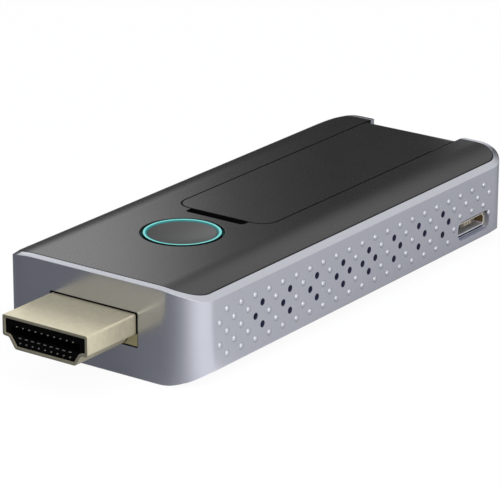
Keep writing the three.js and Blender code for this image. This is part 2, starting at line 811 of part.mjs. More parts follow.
function makeHingePins() {
  const inner = flapWidth / 2 - pinReach;
  const right = rod(pinRadius, 0, 0, [inner, earOuterFace]);
  const left = rod(pinRadius, 0, 0, [-earOuterFace, -inner])
    .subtract(rod(pinBore, 0, 0, [-earOuterFace - overrun, overrun - inner]));
  return [piece('hinge_pin_left', left, steel), piece('hinge_pin_right', right, steel)];
}

// A thin round lead along a smooth path through the given points
function lead(name, points) {
  const corners = points.map((point) => new THREE.Vector3(...point));
  const path = new THREE.CatmullRomCurve3(corners, false, 'centripetal');
  const section = new THREE.Shape();
  section.absarc(0, 0, leadRadius, 0, Math.PI * 2);
  const geometry = new THREE.ExtrudeGeometry(section, {
    steps: points.length * leadSteps, extrudePath: path, bevelEnabled: false, curveSegments: leadSides / 2,
  });
  return piece(name, solid(geometry), leadBlack);
}

function makeFlapLead() {
  const start = leadGap + pinReach - flapWidth / 2;
  const rest = antennaBoardTop + leadRadius;
  return lead('antenna_lead_flap', [
    [start, 0, 0], [(start + leadTurn) / 2, 0, 0], [leadTurn, -leadRadius * 2, leadRadius],
    [leadTurn, -linerSetback / 2, rest - leadRadius], [leadTurn, -linerSetback, rest],
    [leadTurn, -linerSetback * 2, rest],
  ]);
}

function makeMainLead() {
  const start = pinReach - flapWidth / 2 - leadGap;
  const low = boardTop + connectorHeight / 2 - hingeHeight;
  const ahead = connectorCentre + connectorSize / 2 + seamGap - hingeCentre;
  const out = -earOuterFace - leadRadius * 2;
  const past = -wellRadius - bayWall - leadRadius - leadGap;
  return lead('antenna_lead', [
    [start, 0, 0], [-earOuterFace, 0, 0], [out, -leadRadius * 2, -leadRadius],
    [out, -wellRadius / 2, low / 2], [out, past, low],
    [connectorOffset, ahead + connectorSize / 2, low], [connectorOffset, ahead, low],
  ]);
}

const device = new THREE.Group();
device.add(
  makeHousing(),
  makeTopCover(),
  makeBottomCover(),
  ...makeScrews(),
  assembly(0, 0, boardUnderside, ...boardParts()),
  assembly(0, frontFace, plugCentre,
    makePlugShell(), makeCollar(), makeInsulator(), ...plugContacts()),
  assembly(halfWidth, portCentre, portHeight, makePortShell(), makePortTongue(), ...portContactStrips()),
  assembly(0, buttonCentre, 0, makeButtonRing(), makeButtonCap(), makeSwitchPlunger(), makeSwitchBase()),
  assembly(0, hingeCentre, hingeHeight, makeFlap(), makeLiner(), makeAntennaBoard(), makeFlapLead(),
    ...makeHingePins(), makeMainLead()),
  chip('antenna_connector', [connectorSize, connectorSize, connectorHeight],
    [connectorOffset, connectorCentre, boardTop], steel),
);

export default device;
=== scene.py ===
import math
import bpy
import bmesh
from mathutils import Matrix, Vector
from mathutils.geometry import delaunay_2d_cdt


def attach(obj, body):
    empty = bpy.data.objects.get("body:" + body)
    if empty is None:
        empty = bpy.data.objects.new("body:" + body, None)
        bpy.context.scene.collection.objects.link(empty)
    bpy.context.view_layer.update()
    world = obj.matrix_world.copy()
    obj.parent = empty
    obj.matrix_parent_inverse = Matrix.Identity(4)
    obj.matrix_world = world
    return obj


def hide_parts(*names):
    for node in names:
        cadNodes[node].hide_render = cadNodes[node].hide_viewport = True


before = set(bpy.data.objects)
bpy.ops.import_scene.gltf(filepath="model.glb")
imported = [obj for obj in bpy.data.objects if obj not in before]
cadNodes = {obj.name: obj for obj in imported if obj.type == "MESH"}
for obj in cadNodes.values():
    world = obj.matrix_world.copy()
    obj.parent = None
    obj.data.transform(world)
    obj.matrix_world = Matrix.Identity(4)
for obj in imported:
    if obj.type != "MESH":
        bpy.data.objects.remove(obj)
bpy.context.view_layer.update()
scene = bpy.context.scene
mm = 0.001  # shapes are worked out in millimetres

camera = {"aim": (0, -3.5, 5), "azimuth": 36.1141, "elevation": 19.8386, "distance": 431.4924,
          "lens": 227.42, "shiftX": 0.03921, "shiftY": 0.03454, "clip": (0.01, 20)}


def makeCamera(spec):
    turn, rise = math.radians(spec["azimuth"]), math.radians(spec["elevation"])
    back = Vector((math.sin(turn) * math.cos(rise), -math.cos(turn) * math.cos(rise), math.sin(rise)))
    data = bpy.data.cameras.new("photoCamera")
    data.lens = spec["lens"]
    data.shift_x, data.shift_y = spec["shiftX"], spec["shiftY"]
    data.clip_start, data.clip_end = spec["clip"]
    cameraObject = bpy.data.objects.new("photoCamera", data)
    cameraObject.location = (Vector(spec["aim"]) + back * spec["distance"]) * mm
    cameraObject.rotation_euler = back.to_track_quat("Z", "Y").to_euler()
    scene.collection.objects.link(cameraObject)
    scene.camera = cameraObject


def newTree(owner):
    owner.use_nodes = True
    owner.node_tree.nodes.clear()
    return owner.node_tree


# Each input is given as a plain value, or as the socket that it is linked from
def node(tree, kind, inputs=None, **settings):
    made = tree.nodes.new(kind)
    for key, value in settings.items():
        setattr(made, key, value)
    for key, value in (inputs or {}).items():
        if isinstance(value, bpy.types.NodeSocket):
            tree.links.new(value, made.inputs[key])
        else:
            made.inputs[key].default_value = value
    return made


def calculate(tree, operation, *inputs, **settings):
    return node(tree, "ShaderNodeMath", dict(enumerate(inputs)), operation=operation, **settings).outputs[0]


def mapped(tree, value, source, target=(0, 1), **settings):
    inputs = {"Value": value, "From Min": source[0], "From Max": source[1], "To Min": target[0], "To Max": target[1]}
    return node(tree, "ShaderNodeMapRange", inputs, **settings).outputs[0]


def mixColors(tree, factor, first, second, **settings):
    inputs = {"Factor": factor, "A": first, "B": second}
    return node(tree, "ShaderNodeMix", inputs, data_type="RGBA", **settings).outputs["Result"]


def mixShaders(tree, factor, first, second):
    return node(tree, "ShaderNodeMixShader", {0: factor, 1: first, 2: second}).outputs[0]


def emission(tree, color, strength):
    return node(tree, "ShaderNodeEmission", {"Color": color, "Strength": strength}).outputs[0]


def diffuse(tree, tone):
    return node(tree, "ShaderNodeBsdfDiffuse", {"Color": (*tone, 1)}).outputs[0]


def clear(tree):
    return node(tree, "ShaderNodeBsdfTransparent").outputs[0]


def flatSheet(name, halfWidth, halfDepth):
    mesh = bpy.data.meshes.new(name)
    corners = [(-halfWidth, -halfDepth, 0), (halfWidth, -halfDepth, 0), (halfWidth, halfDepth, 0),
               (-halfWidth, halfDepth, 0)]
    mesh.from_pydata(corners, [], [(0, 1, 2, 3)])
    sheet = bpy.data.objects.new(name, mesh)
    scene.collection.objects.link(sheet)
    return sheet


floor = {"half": 1.5, "drop": 0.02, "tone": (0.86, 0.86, 0.87), "glow": 0.94, "soft": (0.07, 0.07, 0.07)}


# The camera gets the floor near to white with a soft shadow, everything else gets a plain pale floor
def makeFloor(spec):
    floorObject = flatSheet("studioFloor", spec["half"], spec["half"])
    floorObject.location.z = -spec["drop"] * mm
    material = bpy.data.materials.new("paleFloor")
    tree = newTree(material)
    bright = node(tree, "ShaderNodeAddShader", {0: emission(tree, (1, 1, 1, 1), spec["glow"]),
                                                1: diffuse(tree, spec["soft"])}).outputs[0]
    rays = node(tree, "ShaderNodeLightPath").outputs
    facing = node(tree, "ShaderNodeNewGeometry").outputs
    above = mixShaders(tree, rays["Is Camera Ray"], diffuse(tree, spec["tone"]), bright)
    seen = mixShaders(tree, facing["Backfacing"], above, clear(tree))  # see-through from below
    node(tree, "ShaderNodeOutputMaterial", {"Surface": seen})
    floorObject.data.materials.append(material)


room = {"backdrop": (1, 1, 1, 1), "level": (0.62, 0.63, 0.66, 1)}


# Camera, metal and glass see the white backdrop, the level lights everything else
def makeWorld(spec):
    scene.world = bpy.data.worlds.new("studioWorld")
    tree = newTree(scene.world)
    level = node(tree, "ShaderNodeBackground", {"Color": spec["level"]}).outputs[0]
    backdrop = node(tree, "ShaderNodeBackground", {"Color": spec["backdrop"]}).outputs[0]
    rays = node(tree, "ShaderNodeLightPath").outputs
    seen = calculate(tree, "ADD", rays["Is Camera Ray"], rays["Is Glossy Ray"])
    seen = calculate(tree, "ADD", seen, rays["Is Transmission Ray"], use_clamp=True)
    node(tree, "ShaderNodeOutputWorld", {"Surface": mixShaders(tree, seen, level, backdrop)})


# Grey cards that only the glossy surfaces see, as a photographer sets beside shiny metal. The floor card is graded
# by direction around the near corner, where 0 is straight ahead of the plug and 90 is off the inlet's side
cards = [
    {"name": "floorFan", "at": (11.2, -28.7, 0.06), "turn": (0, 0, -60), "size": (760, 760), "soft": (60, 60),
     "tone": (1.0, 1.0, 1.02), "fanTint": (0, 0.002, 0.012),
     "fan": [(-150, 0.035), (-140, 0.06), (-132, 0.085), (-118, 0.12), (-105, 0.165), (-72, 0.175), (-50, 0.185),
             (-32, 0.22), (-14, 0.255), (4, 0.30), (25, 0.44), (43, 0.67), (61, 0.97), (79, 1.15), (96, 1.17),
             (114, 1.13), (127, 0.81), (140, 0.74), (162, 0.66), (172, 0.56), (177, 0.38), (184, 0.22),
             (194, 0.10), (209, 0.035)]},
    {"name": "sideFloor", "at": (215, -60, 0.6), "turn": (0, 0, 0), "size": (270, 300), "soft": (20, 30),
     "tone": (1.5, 1.5, 1.5)},
    {"name": "sideCard", "at": (350, -30, 30), "turn": (90, 0, -85), "size": (520, 76), "soft": (60, 16),
     "tone": (1.9, 1.9, 1.9)},
    {"name": "rearCard", "at": (-48, 104, 20), "turn": (90, 0, 36.1), "size": (230, 84), "soft": (10, 14),
     "tone": (0.05, 0.05, 0.05)},
    {"name": "cornerCard", "at": (-10.4, 95.8, 15), "turn": (90, 0, 24), "size": (34, 36), "soft": (7, 9),
     "tone": (0.85, 0.85, 0.90)},
    {"name": "farCard", "at": (-265, 364, 150), "turn": (90, 0, 36.1), "size": (1000, 384), "soft": (60, 90),
     "tone": (0.035, 0.035, 0.035)},
    {"name": "glowCard", "at": (-72, 31.5, 58), "turn": (90, 0, 45), "size": (80, 66), "soft": (28, 12),
     "tone": (1.45, 1.45, 1.45)},
    {"name": "glowTail", "at": (-72.4, 42.5, 60), "turn": (90, 0, 45), "size": (100, 74), "soft": (27, 12),
     "tone": (0.28, 0.28, 0.28)},
    {"name": "leftScreen", "at": (-175, -275, 115), "turn": (90, 0, -32), "size": (320, 200), "soft": (50, 40),
     "tone": (0.45, 0.45, 0.45)},
]


# Levels of up to 2 fit in the ramp at half strength. The gradient's seam is at the first direction
def fanColor(tree, place, spec):
    around = node(tree, "ShaderNodeTexGradient", {0: place}, gradient_type="RADIAL")
    ramp = node(tree, "ShaderNodeValToRGB", {0: around.outputs["Fac"]})
    first = spec["fan"][0][0]
    stops = ramp.color_ramp.elements
    for direction, level in spec["fan"][1:-1]:
        stops.new((direction - first) / 360)
    for stop, (direction, level) in zip(stops, spec["fan"]):
        stop.color = (*[level / 2 + tint for tint in spec["fanTint"]], 1)
    return mixColors(tree, 1, ramp.outputs[0], (*spec["tone"], 1), blend_type="MULTIPLY")


def makeCards(specs):
    for spec in specs:
        half = [side * mm / 2 for side in spec["size"]]
        card = flatSheet(spec["name"], *half)
        card.location = Vector(spec["at"]) * mm
        card.rotation_euler = [math.radians(angle) for angle in spec["turn"]]
        card.visible_camera = card.visible_diffuse = card.visible_shadow = card.visible_transmission = False
        material = bpy.data.materials.new(spec["name"])
        tree = newTree(material)
        place = node(tree, "ShaderNodeTexCoord").outputs["Object"]
        axes = node(tree, "ShaderNodeSeparateXYZ", {0: place}).outputs
        fades = []
        for axis in (0, 1):  # see-through towards the edges
            source = (half[axis] - spec["soft"][axis] * mm, half[axis])
            fades.append(mapped(tree, calculate(tree, "ABSOLUTE", axes[axis]), source, interpolation_type="SMOOTHSTEP"))
        if "fan" in spec:
            glow = emission(tree, fanColor(tree, place, spec), 2)
        else:
            glow = emission(tree, (*spec["tone"], 1), 1)
        seen = mixShaders(tree, calculate(tree, "MAXIMUM", *fades), glow, clear(tree))
        node(tree, "ShaderNodeOutputMaterial", {"Surface": seen})
        card.data.materials.append(material)


lights = [
    {"name": "topPanel", "at": (40, -60, 260), "aim": (0, 0, 0), "size": (260, 260), "power": 0.20, "glossy": True},
    {"name": "rightPanel", "at": (215, -80, 110), "aim": (14, 0, 6), "size": (130, 130), "power": 0.10,
     "glossy": True},
    {"name": "frontPanel", "at": (90, -280, 130), "aim": (0, -20, 5), "size": (140, 120), "power": 0.08,
     "glossy": True},
    {"name": "plugPanel", "at": (240, -120, 18), "aim": (7, -38, 7), "size": (100, 30), "power": 0.25,
     "glossy": False},
]


def makeLights(specs):
    for spec in specs:
        data = bpy.data.lights.new(spec["name"], "AREA")
        data.shape = "RECTANGLE"
        data.size, data.size_y = spec["size"][0] * mm, spec["size"][1] * mm
        data.energy = spec["power"]
        lamp = bpy.data.objects.new(spec["name"], data)
        lamp.location = Vector(spec["at"]) * mm
        lamp.rotation_euler = (Vector(spec["at"]) - Vector(spec["aim"])).to_track_quat("Z", "Y").to_euler()
        lamp.visible_camera = False
        lamp.visible_glossy = spec["glossy"]
        scene.collection.objects.link(lamp)


scene.view_settings.view_transform = "Standard"
makeCamera(camera)
makeFloor(floor)
makeWorld(room)
makeCards(cards)
makeLights(lights)
print("stage ready")

grainSpan = (0.3, 0.7)  # most of a noise lies between these levels


def noise(tree, place, scale, detail):
    return node(tree, "ShaderNodeTexNoise", {"Vector": place, "Scale": scale, "Detail": detail}).outputs["Fac"]


# One general recipe: two close tones, roughness that varies, and a fine grain of so many micrometres in the surface
def surface(name, tones, roughness, metallic=0.0, grain=9000, patch=160, depth=4, tint=None, **sockets):
    material = bpy.data.materials.new(name)
    tree = newTree(material)
    place = node(tree, "ShaderNodeTexCoord").outputs["Object"]
    color = mixColors(tree, mapped(tree, noise(tree, place, patch, 2), grainSpan), *[(*tone, 1) for tone in tones])
    if tint:
        color = tint(tree, place, color)
    fine = noise(tree, place, grain, 3)
    bump = node(tree, "ShaderNodeBump", {"Height": fine, "Strength": 0.4, "Distance": depth * mm / 1000})
    inputs = {"Base Color": color, "Metallic": metallic, "Roughness": mapped(tree, fine, grainSpan, roughness),
              "Normal": bump.outputs[0]}
    inputs.update({key.replace("_", " "): value for key, value in sockets.items()})
    shader = node(tree, "ShaderNodeBsdfPrincipled", inputs)
    node(tree, "ShaderNodeOutputMaterial", {"Surface": shader.outputs[0]})
    return material


studShade = {"brightWay": (0.79, -0.50, 0.35), "between": (0.50, 0.86), "levels": (0.55, 1)}
tongueStrips = {"waves": 483, "middle": 33.5, "reach": 1.15, "tone": (0.42, 0.37, 0.28, 1)}


# Painted shade on the studs: they darken a little where they turn to the rear and down, away from the light
def paintStudShade(tree, place, color):
    axes = node(tree, "ShaderNodeSeparateXYZ", {0: node(tree, "ShaderNodeNewGeometry").outputs["Normal"]}).outputs
    sideways = {"X": calculate(tree, "ABSOLUTE", axes["X"]), "Y": axes["Y"], "Z": axes["Z"]}
    facing = node(tree, "ShaderNodeCombineXYZ", sideways).outputs[0]
    towards = node(tree, "ShaderNodeVectorMath", {0: facing, 1: studShade["brightWay"]}, operation="DOT_PRODUCT")
    shade = mapped(tree, towards.outputs["Value"], studShade["between"], studShade["levels"],
                   interpolation_type="SMOOTHSTEP")
    return mixColors(tree, 1, color, shade, blend_type="MULTIPLY")


# The inlet's tongue shows its contacts as pale strips
def contactStrips(tree, place, color):
    waves = node(tree, "ShaderNodeTexWave", {"Vector": place, "Scale": tongueStrips["waves"]}, bands_direction="Y")
    across = node(tree, "ShaderNodeSeparateXYZ", {0: place}).outputs["Y"]
    middle = calculate(tree, "COMPARE", across, tongueStrips["middle"] * mm, tongueStrips["reach"] * mm)
    return mixColors(tree, calculate(tree, "MULTIPLY", middle, waves.outputs["Fac"]), color, tongueStrips["tone"])


silver = surface("satinSilver", ((0.495, 0.505, 0.55), (0.515, 0.525, 0.57)), (0.21, 0.22), 0.95, depth=0.1)
# Painted light and shade: a grey copy of the silver for the inlet opening's walls and the inlet's groove, and a blue
# copy as painted reflection on the opening's floor
paintedPocketGrey = surface("paintedPocketGrey", ((0.22, 0.22, 0.24), (0.26, 0.26, 0.28)), (0.4, 0.5), 0.3)
pocketReflectionBlue = surface("pocketReflectionBlue", ((0.40, 0.42, 0.52), (0.46, 0.48, 0.58)), (0.3, 0.4), 0.5)
# The studs' colour carries painted shade where they turn away from the light
studSilver = surface("studSilver", ((0.47, 0.48, 0.52), (0.51, 0.52, 0.56)), (0.26, 0.32), 0.85, depth=0.3,
                     tint=paintStudShade)
# Painted shade: the vents' walls are dark navy where the dark inside of the body shows through
paintedVentShade = surface("ventShade", ((0.030, 0.033, 0.070), (0.037, 0.040, 0.082)), (0.5, 0.6), Specular_IOR_Level=0.15)
# Painted shadow: a dark navy for the inlet's groove along the bottom
grooveShadowNavy = surface("inletGrooveShadow", ((0.008, 0.008, 0.022), (0.012, 0.012, 0.030)), (0.5, 0.6),
                     Specular_IOR_Level=0.1)
charcoal = surface("satinCharcoal", ((0.0195, 0.0185, 0.0185), (0.0225, 0.0215, 0.0215)), (0.25, 0.29), depth=0.4)
flapSkin = surface("flapCharcoal", ((0.0185, 0.0175, 0.0175), (0.0215, 0.0205, 0.0205)), (0.25, 0.29), depth=0.4)
shadowBlack = surface("shadowBlack", ((0.0012, 0.0012, 0.0013), (0.002, 0.002, 0.002)), (0.6, 0.7),
                      Specular_IOR_Level=0.1)
gold = surface("paleGold", ((0.58, 0.53, 0.375), (0.64, 0.59, 0.425)), (0.30, 0.38), 0.68, grain=5000, patch=1400,
               depth=3)
# Painted shade: a darker copy of the gold for the shell's front faces
goldEdgeShade = surface("goldEdgeShade", ((0.24, 0.225, 0.165), (0.28, 0.26, 0.195)), (0.4, 0.5), 0.7, depth=1)
collarGold = surface("collarGold", ((0.30, 0.27, 0.14), (0.36, 0.33, 0.18)), (0.4, 0.5), 0.5, depth=1)
contactGold = surface("contactGold", ((0.20, 0.19, 0.175), (0.25, 0.24, 0.215)), (0.3, 0.4), 0.5, depth=1)
black = surface("mouldedBlack", ((0.0008, 0.0008, 0.0009), (0.0016, 0.0016, 0.0016)), (0.6, 0.7),
                Specular_IOR_Level=0.03)
# Painted light and shade on the inlet's shell: shade on its inside walls, a highlight on its lip, and lighter
# reflections on its bottom edge and inside floor
inletShadeBrown = surface("inletLiningShade", ((0.10, 0.062, 0.022), (0.16, 0.105, 0.045)), (0.3, 0.5), 0.4, depth=1)
inletLipHighlight = surface("inletLipHighlight", ((0.80, 0.75, 0.62), (0.88, 0.83, 0.70)), (0.25, 0.35), 0.6, depth=1)
inletEdgeReflection = surface("inletBottomEdgeReflection", ((0.70, 0.73, 0.82), (0.78, 0.80, 0.88)), (0.25, 0.35), 0.6, depth=1)
inletFloorReflection = surface("inletFloorReflection", ((0.68, 0.68, 0.70), (0.80, 0.80, 0.82)), (0.3, 0.4), 0.6, patch=700, depth=1)
steel = surface("drawnSteel", ((0.56, 0.56, 0.58), (0.64, 0.64, 0.66)), (0.22, 0.34), 1.0, depth=1)
turquoise = surface("lightRing", ((0.10, 0.44, 0.42), (0.12, 0.47, 0.45)), (0.3, 0.4), grain=3000, depth=1,
                    Emission_Color=(0.08, 0.30, 0.28, 1), Emission_Strength=0.8)
# Painted shade: a darker, unlit copy of the ring for its inner slope
ringWallShade = surface("lightRingWallShade", ((0.022, 0.20, 0.205), (0.028, 0.23, 0.235)), (0.4, 0.5), grain=3000, depth=1,
               Specular_IOR_Level=0.2)
ringShade = surface("lightRingShade", ((0.0015, 0.006, 0.0065), (0.002, 0.008, 0.0085)), (0.5, 0.6),
                    Specular_IOR_Level=0.1)
capGrey = surface("dishedCap", ((0.034, 0.034, 0.0345), (0.038, 0.038, 0.0385)), (0.32, 0.40), depth=0.6)
boardGreen = surface("solderMask", ((0.010, 0.060, 0.032), (0.014, 0.075, 0.042)), (0.3, 0.4), patch=500)
chipBlack = surface("chipMould", ((0.012, 0.012, 0.013), (0.018, 0.018, 0.019)), (0.5, 0.65))
padGrey = surface("softPad", ((0.30, 0.31, 0.34), (0.36, 0.37, 0.40)), (0.8, 0.9))
ledWhite = surface("ringLed", ((0.80, 0.80, 0.76), (0.88, 0.88, 0.84)), (0.3, 0.4))
leadBlack = surface("leadSleeve", ((0.015, 0.015, 0.015), (0.022, 0.022, 0.022)), (0.45, 0.55))
tongueFinish = surface("inletTongue", ((0.055, 0.045, 0.032), (0.08, 0.065, 0.045)), (0.4, 0.5), tint=contactStrips)
print("materials ready")


class Shape:
    def __init__(self):
        self.points, self.faces, self.normals = [], [], []

    def ring(self, points):
        start = len(self.points)
        self.points += [Vector(point) for point in points]
        return list(range(start, len(self.points)))

    def face(self, corners, normals=None):
        self.faces.append(tuple(corners))
        self.normals.append(normals)

    def band(self, first, second, closed=True, firstNormals=None, secondNormals=None):
        count = len(first)
        for i in range(count if closed else count - 1):
            j = (i + 1) % count
            normals = None
            if firstNormals:
                normals = (firstNormals[i], firstNormals[j], secondNormals[j], secondNormals[i])
            self.face((first[i], first[j], second[j], second[i]), normals)

    def tube(self, rings):  # the last ring joins the first
        for first, second in zip(rings, rings[1:] + rings[:1]):
            self.band(first, second)

    def bar(self, rings):
        for first, second in zip(rings, rings[1:]):
            self.band(first, second)
        self.face(rings[0])
        self.face(rings[-1][::-1])

    def object(self, name):
        mesh = bpy.data.meshes.new(name)
        mesh.from_pydata([point * mm for point in self.points], [], self.faces)
        if any(self.normals):
            mesh.shade_smooth()
            flat = [polygon.normal.copy() for polygon in mesh.polygons]
            loops = []
            for index, face in enumerate(self.faces):
                loops += list(self.normals[index] or [flat[index]] * len(face))
            mesh.normals_split_custom_set(loops)
        made = bpy.data.objects.new(name, mesh)
        scene.collection.objects.link(made)
        return made


def bake(item):
    graph = bpy.context.evaluated_depsgraph_get()
    mesh = bpy.data.meshes.new_from_object(item.evaluated_get(graph))
    item.modifiers.clear()
    old = item.data
    item.data = mesh
    mesh.name = item.name
    bpy.data.meshes.remove(old)
    return item


def outward(item):
    work = bmesh.new()
    work.from_mesh(item.data)
    bmesh.ops.recalc_face_normals(work, faces=work.faces)
    work.to_mesh(item.data)
    work.free()
    return item


def cut(item, cutters):
    for cutter in cutters:
        outward(cutter)
        modifier = item.modifiers.new("cut", "BOOLEAN")
        modifier.operation, modifier.solver, modifier.object = "DIFFERENCE", "EXACT", cutter
    bake(item)
    for cutter in cutters:
        bpy.data.objects.remove(cutter)


def polish(item, angle):
    item.data.shade_smooth()
    item.data.set_sharp_from_angle(angle=math.radians(angle))
    modifier = item.modifiers.new("weighted", "WEIGHTED_NORMAL")
    modifier.keep_sharp, modifier.weight = True, 60
    bake(item)


def dress(item, material, body, slotName, *replaced, others=()):
    item.data.materials.clear()
    item.data.materials.append(material)
    for polygon in item.data.polygons:
        polygon.material_index = 0
    for index, (other, test) in enumerate(others):  # faces that pass a test get another finish
        item.data.materials.append(other)
        for polygon in item.data.polygons:
            if test(polygon.center / mm, polygon.normal):
                polygon.material_index = index + 1
    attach(item, body)
    if replaced:
        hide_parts(*replaced)


def arc(centre, radius, start, end, steps):
    turns = [math.radians(start + (end - start) * i / steps) for i in range(steps + 1)]
    return [(centre[0] + radius * math.cos(turn), centre[1] + radius * math.sin(turn)) for turn in turns]


def circle(centre, radius, count, way=1):
    turns = [way * 2 * math.pi * i / count for i in range(count)]
    return [(centre[0] + radius * math.cos(turn), centre[1] + radius * math.sin(turn)) for turn in turns]


def roundedBox(width, height, radius, centre, steps=6):
    x, y = width / 2 - radius, height / 2 - radius
    loop = []
    for cx, cy, start in ((x, -y, -90), (x, y, 0), (-x, y, 90), (-x, -y, 180)):
        loop += arc((centre[0] + cx, centre[1] + cy), radius, start, start + 90, steps)
    return loop


def offset(loop, distance):
    moved = []
    for i, point in enumerate(loop):
        before, here, after = Vector(loop[i - 1]), Vector(point), Vector(loop[(i + 1) % len(loop)])
        first, second = (here - before).normalized(), (after - here).normalized()
        one, two = Vector((-first.y, first.x)), Vector((-second.y, second.x))
        miter = (one + two) / max(1 + one.dot(two), 0.2)  # limited at sharp corners
        moved.append((here.x + miter.x * distance, here.y + miter.y * distance))
    return moved


def sides(loop):
    return [Vector((a[0] - b[0], a[1] - b[1], 0)).normalized() for a, b in zip(loop, offset(loop, 1))]


def prism(loop, low, high):
    shape = Shape()
    bottom = shape.ring([(x, y, low) for x, y in loop])
    top = shape.ring([(x, y, high) for x, y in loop])
    shape.band(bottom, top)
    shape.face(bottom[::-1])
    shape.face(top)
    return shape.object("cutter")


def block(corner, opposite, levels):
    (x0, y0), (x1, y1) = corner, opposite
    return prism([(x0, y0), (x1, y0), (x1, y1), (x0, y1)], *levels)


def rotated(item, matrix):
    item.data.transform(matrix)
    return item


alongX = Matrix(((0, 0, 1, 0), (1, 0, 0, 0), (0, 1, 0, 0), (0, 0, 0, 1)))  # a prism's plan becomes Y and Z
alongY = Matrix(((1, 0, 0, 0), (0, 0, -1, 0), (0, 1, 0, 0), (0, 0, 0, 1)))  # a prism's plan becomes X and Z


def lathe(name, profile, centre, count=128):
    shape = Shape()
    rings = []
    for radius, height in profile:
        if radius == 0:
            rings.append(shape.ring([(*centre, height)]) * count)
        else:
            rings.append(shape.ring([(x, y, height) for x, y in circle(centre, radius, count)]))
    for first, second in zip(rings, rings[1:]):
        for i in range(count):
            j = (i + 1) % count
            corners = list(dict.fromkeys((first[i], first[j], second[j], second[i])))
            if len(corners) > 2:
                shape.face(corners)
    return outward(shape.object(name))


# Openings are width, height, corner radius and centre, and cuts run from one distance to the other
body = {"half": 16, "front": -33.5, "rear": 43.5, "height": 13, "corner": 4.8, "flat": 10.2, "crown": 10.7,
        "endStations": (10.85, 10.5, 10.2, 0, -10.2, -10.5, -10.85), "rim": 0.87, "rimRise": 0.2,
        "rearRises": (0.06, 0.16), "fadeHeight": 0.6, "wall": 1.7, "edge": 0.04, "coverDepth": 1.32,
        "plugOpening": (14.46, 4.88, 0.25, (0, 6.65)), "plugCut": (30, 37), "notchHalf": 7.87,
        "notchCut": (40, 45), "notchLevels": (6.5, 15), "inlet": (8.3, 2.8, 1.05, (33.5, 3.98)),
        "sideCut": (13, 17), "ventRadius": 0.49, "margin": 0.02}
roundShare = 0.3  # how far in the middle of a rounded edge lies


def crownDrop(x):
    beyond = max(abs(x) - body["flat"], 0)
    return body["crown"] - math.sqrt(body["crown"] ** 2 - beyond ** 2)


def crownNormal(x, sign):
    beyond = max(abs(x) - body["flat"], 0)
    lean = math.asin(beyond / body["crown"])
    return Vector((math.copysign(math.sin(lean), x), 0, sign * math.cos(lean)))


# Plan of the body as corner centres with outward directions, so that any inset follows from it
def bodyRail(steps=12):
    across = body["half"] - body["corner"]
    front, rear = body["front"] + body["corner"], body["rear"] - body["corner"]
    rail = []
    for x, y, start in ((across, front, -90), (across, rear, 0), (-across, rear, 90), (-across, front, 180)):
        rail += [(x, y, math.radians(start + 90 * i / steps)) for i in range(steps + 1)]
        if start in (0, 180):  # stations along the ends, where the crown runs out
            sign = 1 if start == 0 else -1
            rail += [(sign * step, y, math.radians(start + 90)) for step in body["endStations"]]
    return rail


def inset(rail, distance):
    reach = body["corner"] - distance
    return [(x + reach * math.cos(turn), y + reach * math.sin(turn)) for x, y, turn in rail]


# The side pattern: five rows in step, a dot for a stud and an o for a vent
pattern = {"rows": [".....................", "...o.o.o.o.o.o.o.o....", "..o.o.o.oooo.o.o.o...",
                    "...o.o.o.o.o.o.o.o....", "....................."],
           "pitch": 3.11, "rowPitch": 1.523, "middle": (5, 6.42), "studRadius": 0.48, "studHeight": 0.25,
           "studAt": 15.95, "studShift": (-0.03, -0.11), "inletMargin": 0.46}
ventPlaces, studPlaces = [], []
for rowIndex, signs in enumerate(pattern["rows"]):
    for columnIndex, sign in enumerate(signs):
        place = (pattern["middle"][0] + (columnIndex - (len(signs) - 1) / 2) * pattern["pitch"],
                 pattern["middle"][1] + (rowIndex - 2) * pattern["rowPitch"])
        (ventPlaces if sign == "o" else studPlaces).append(place)


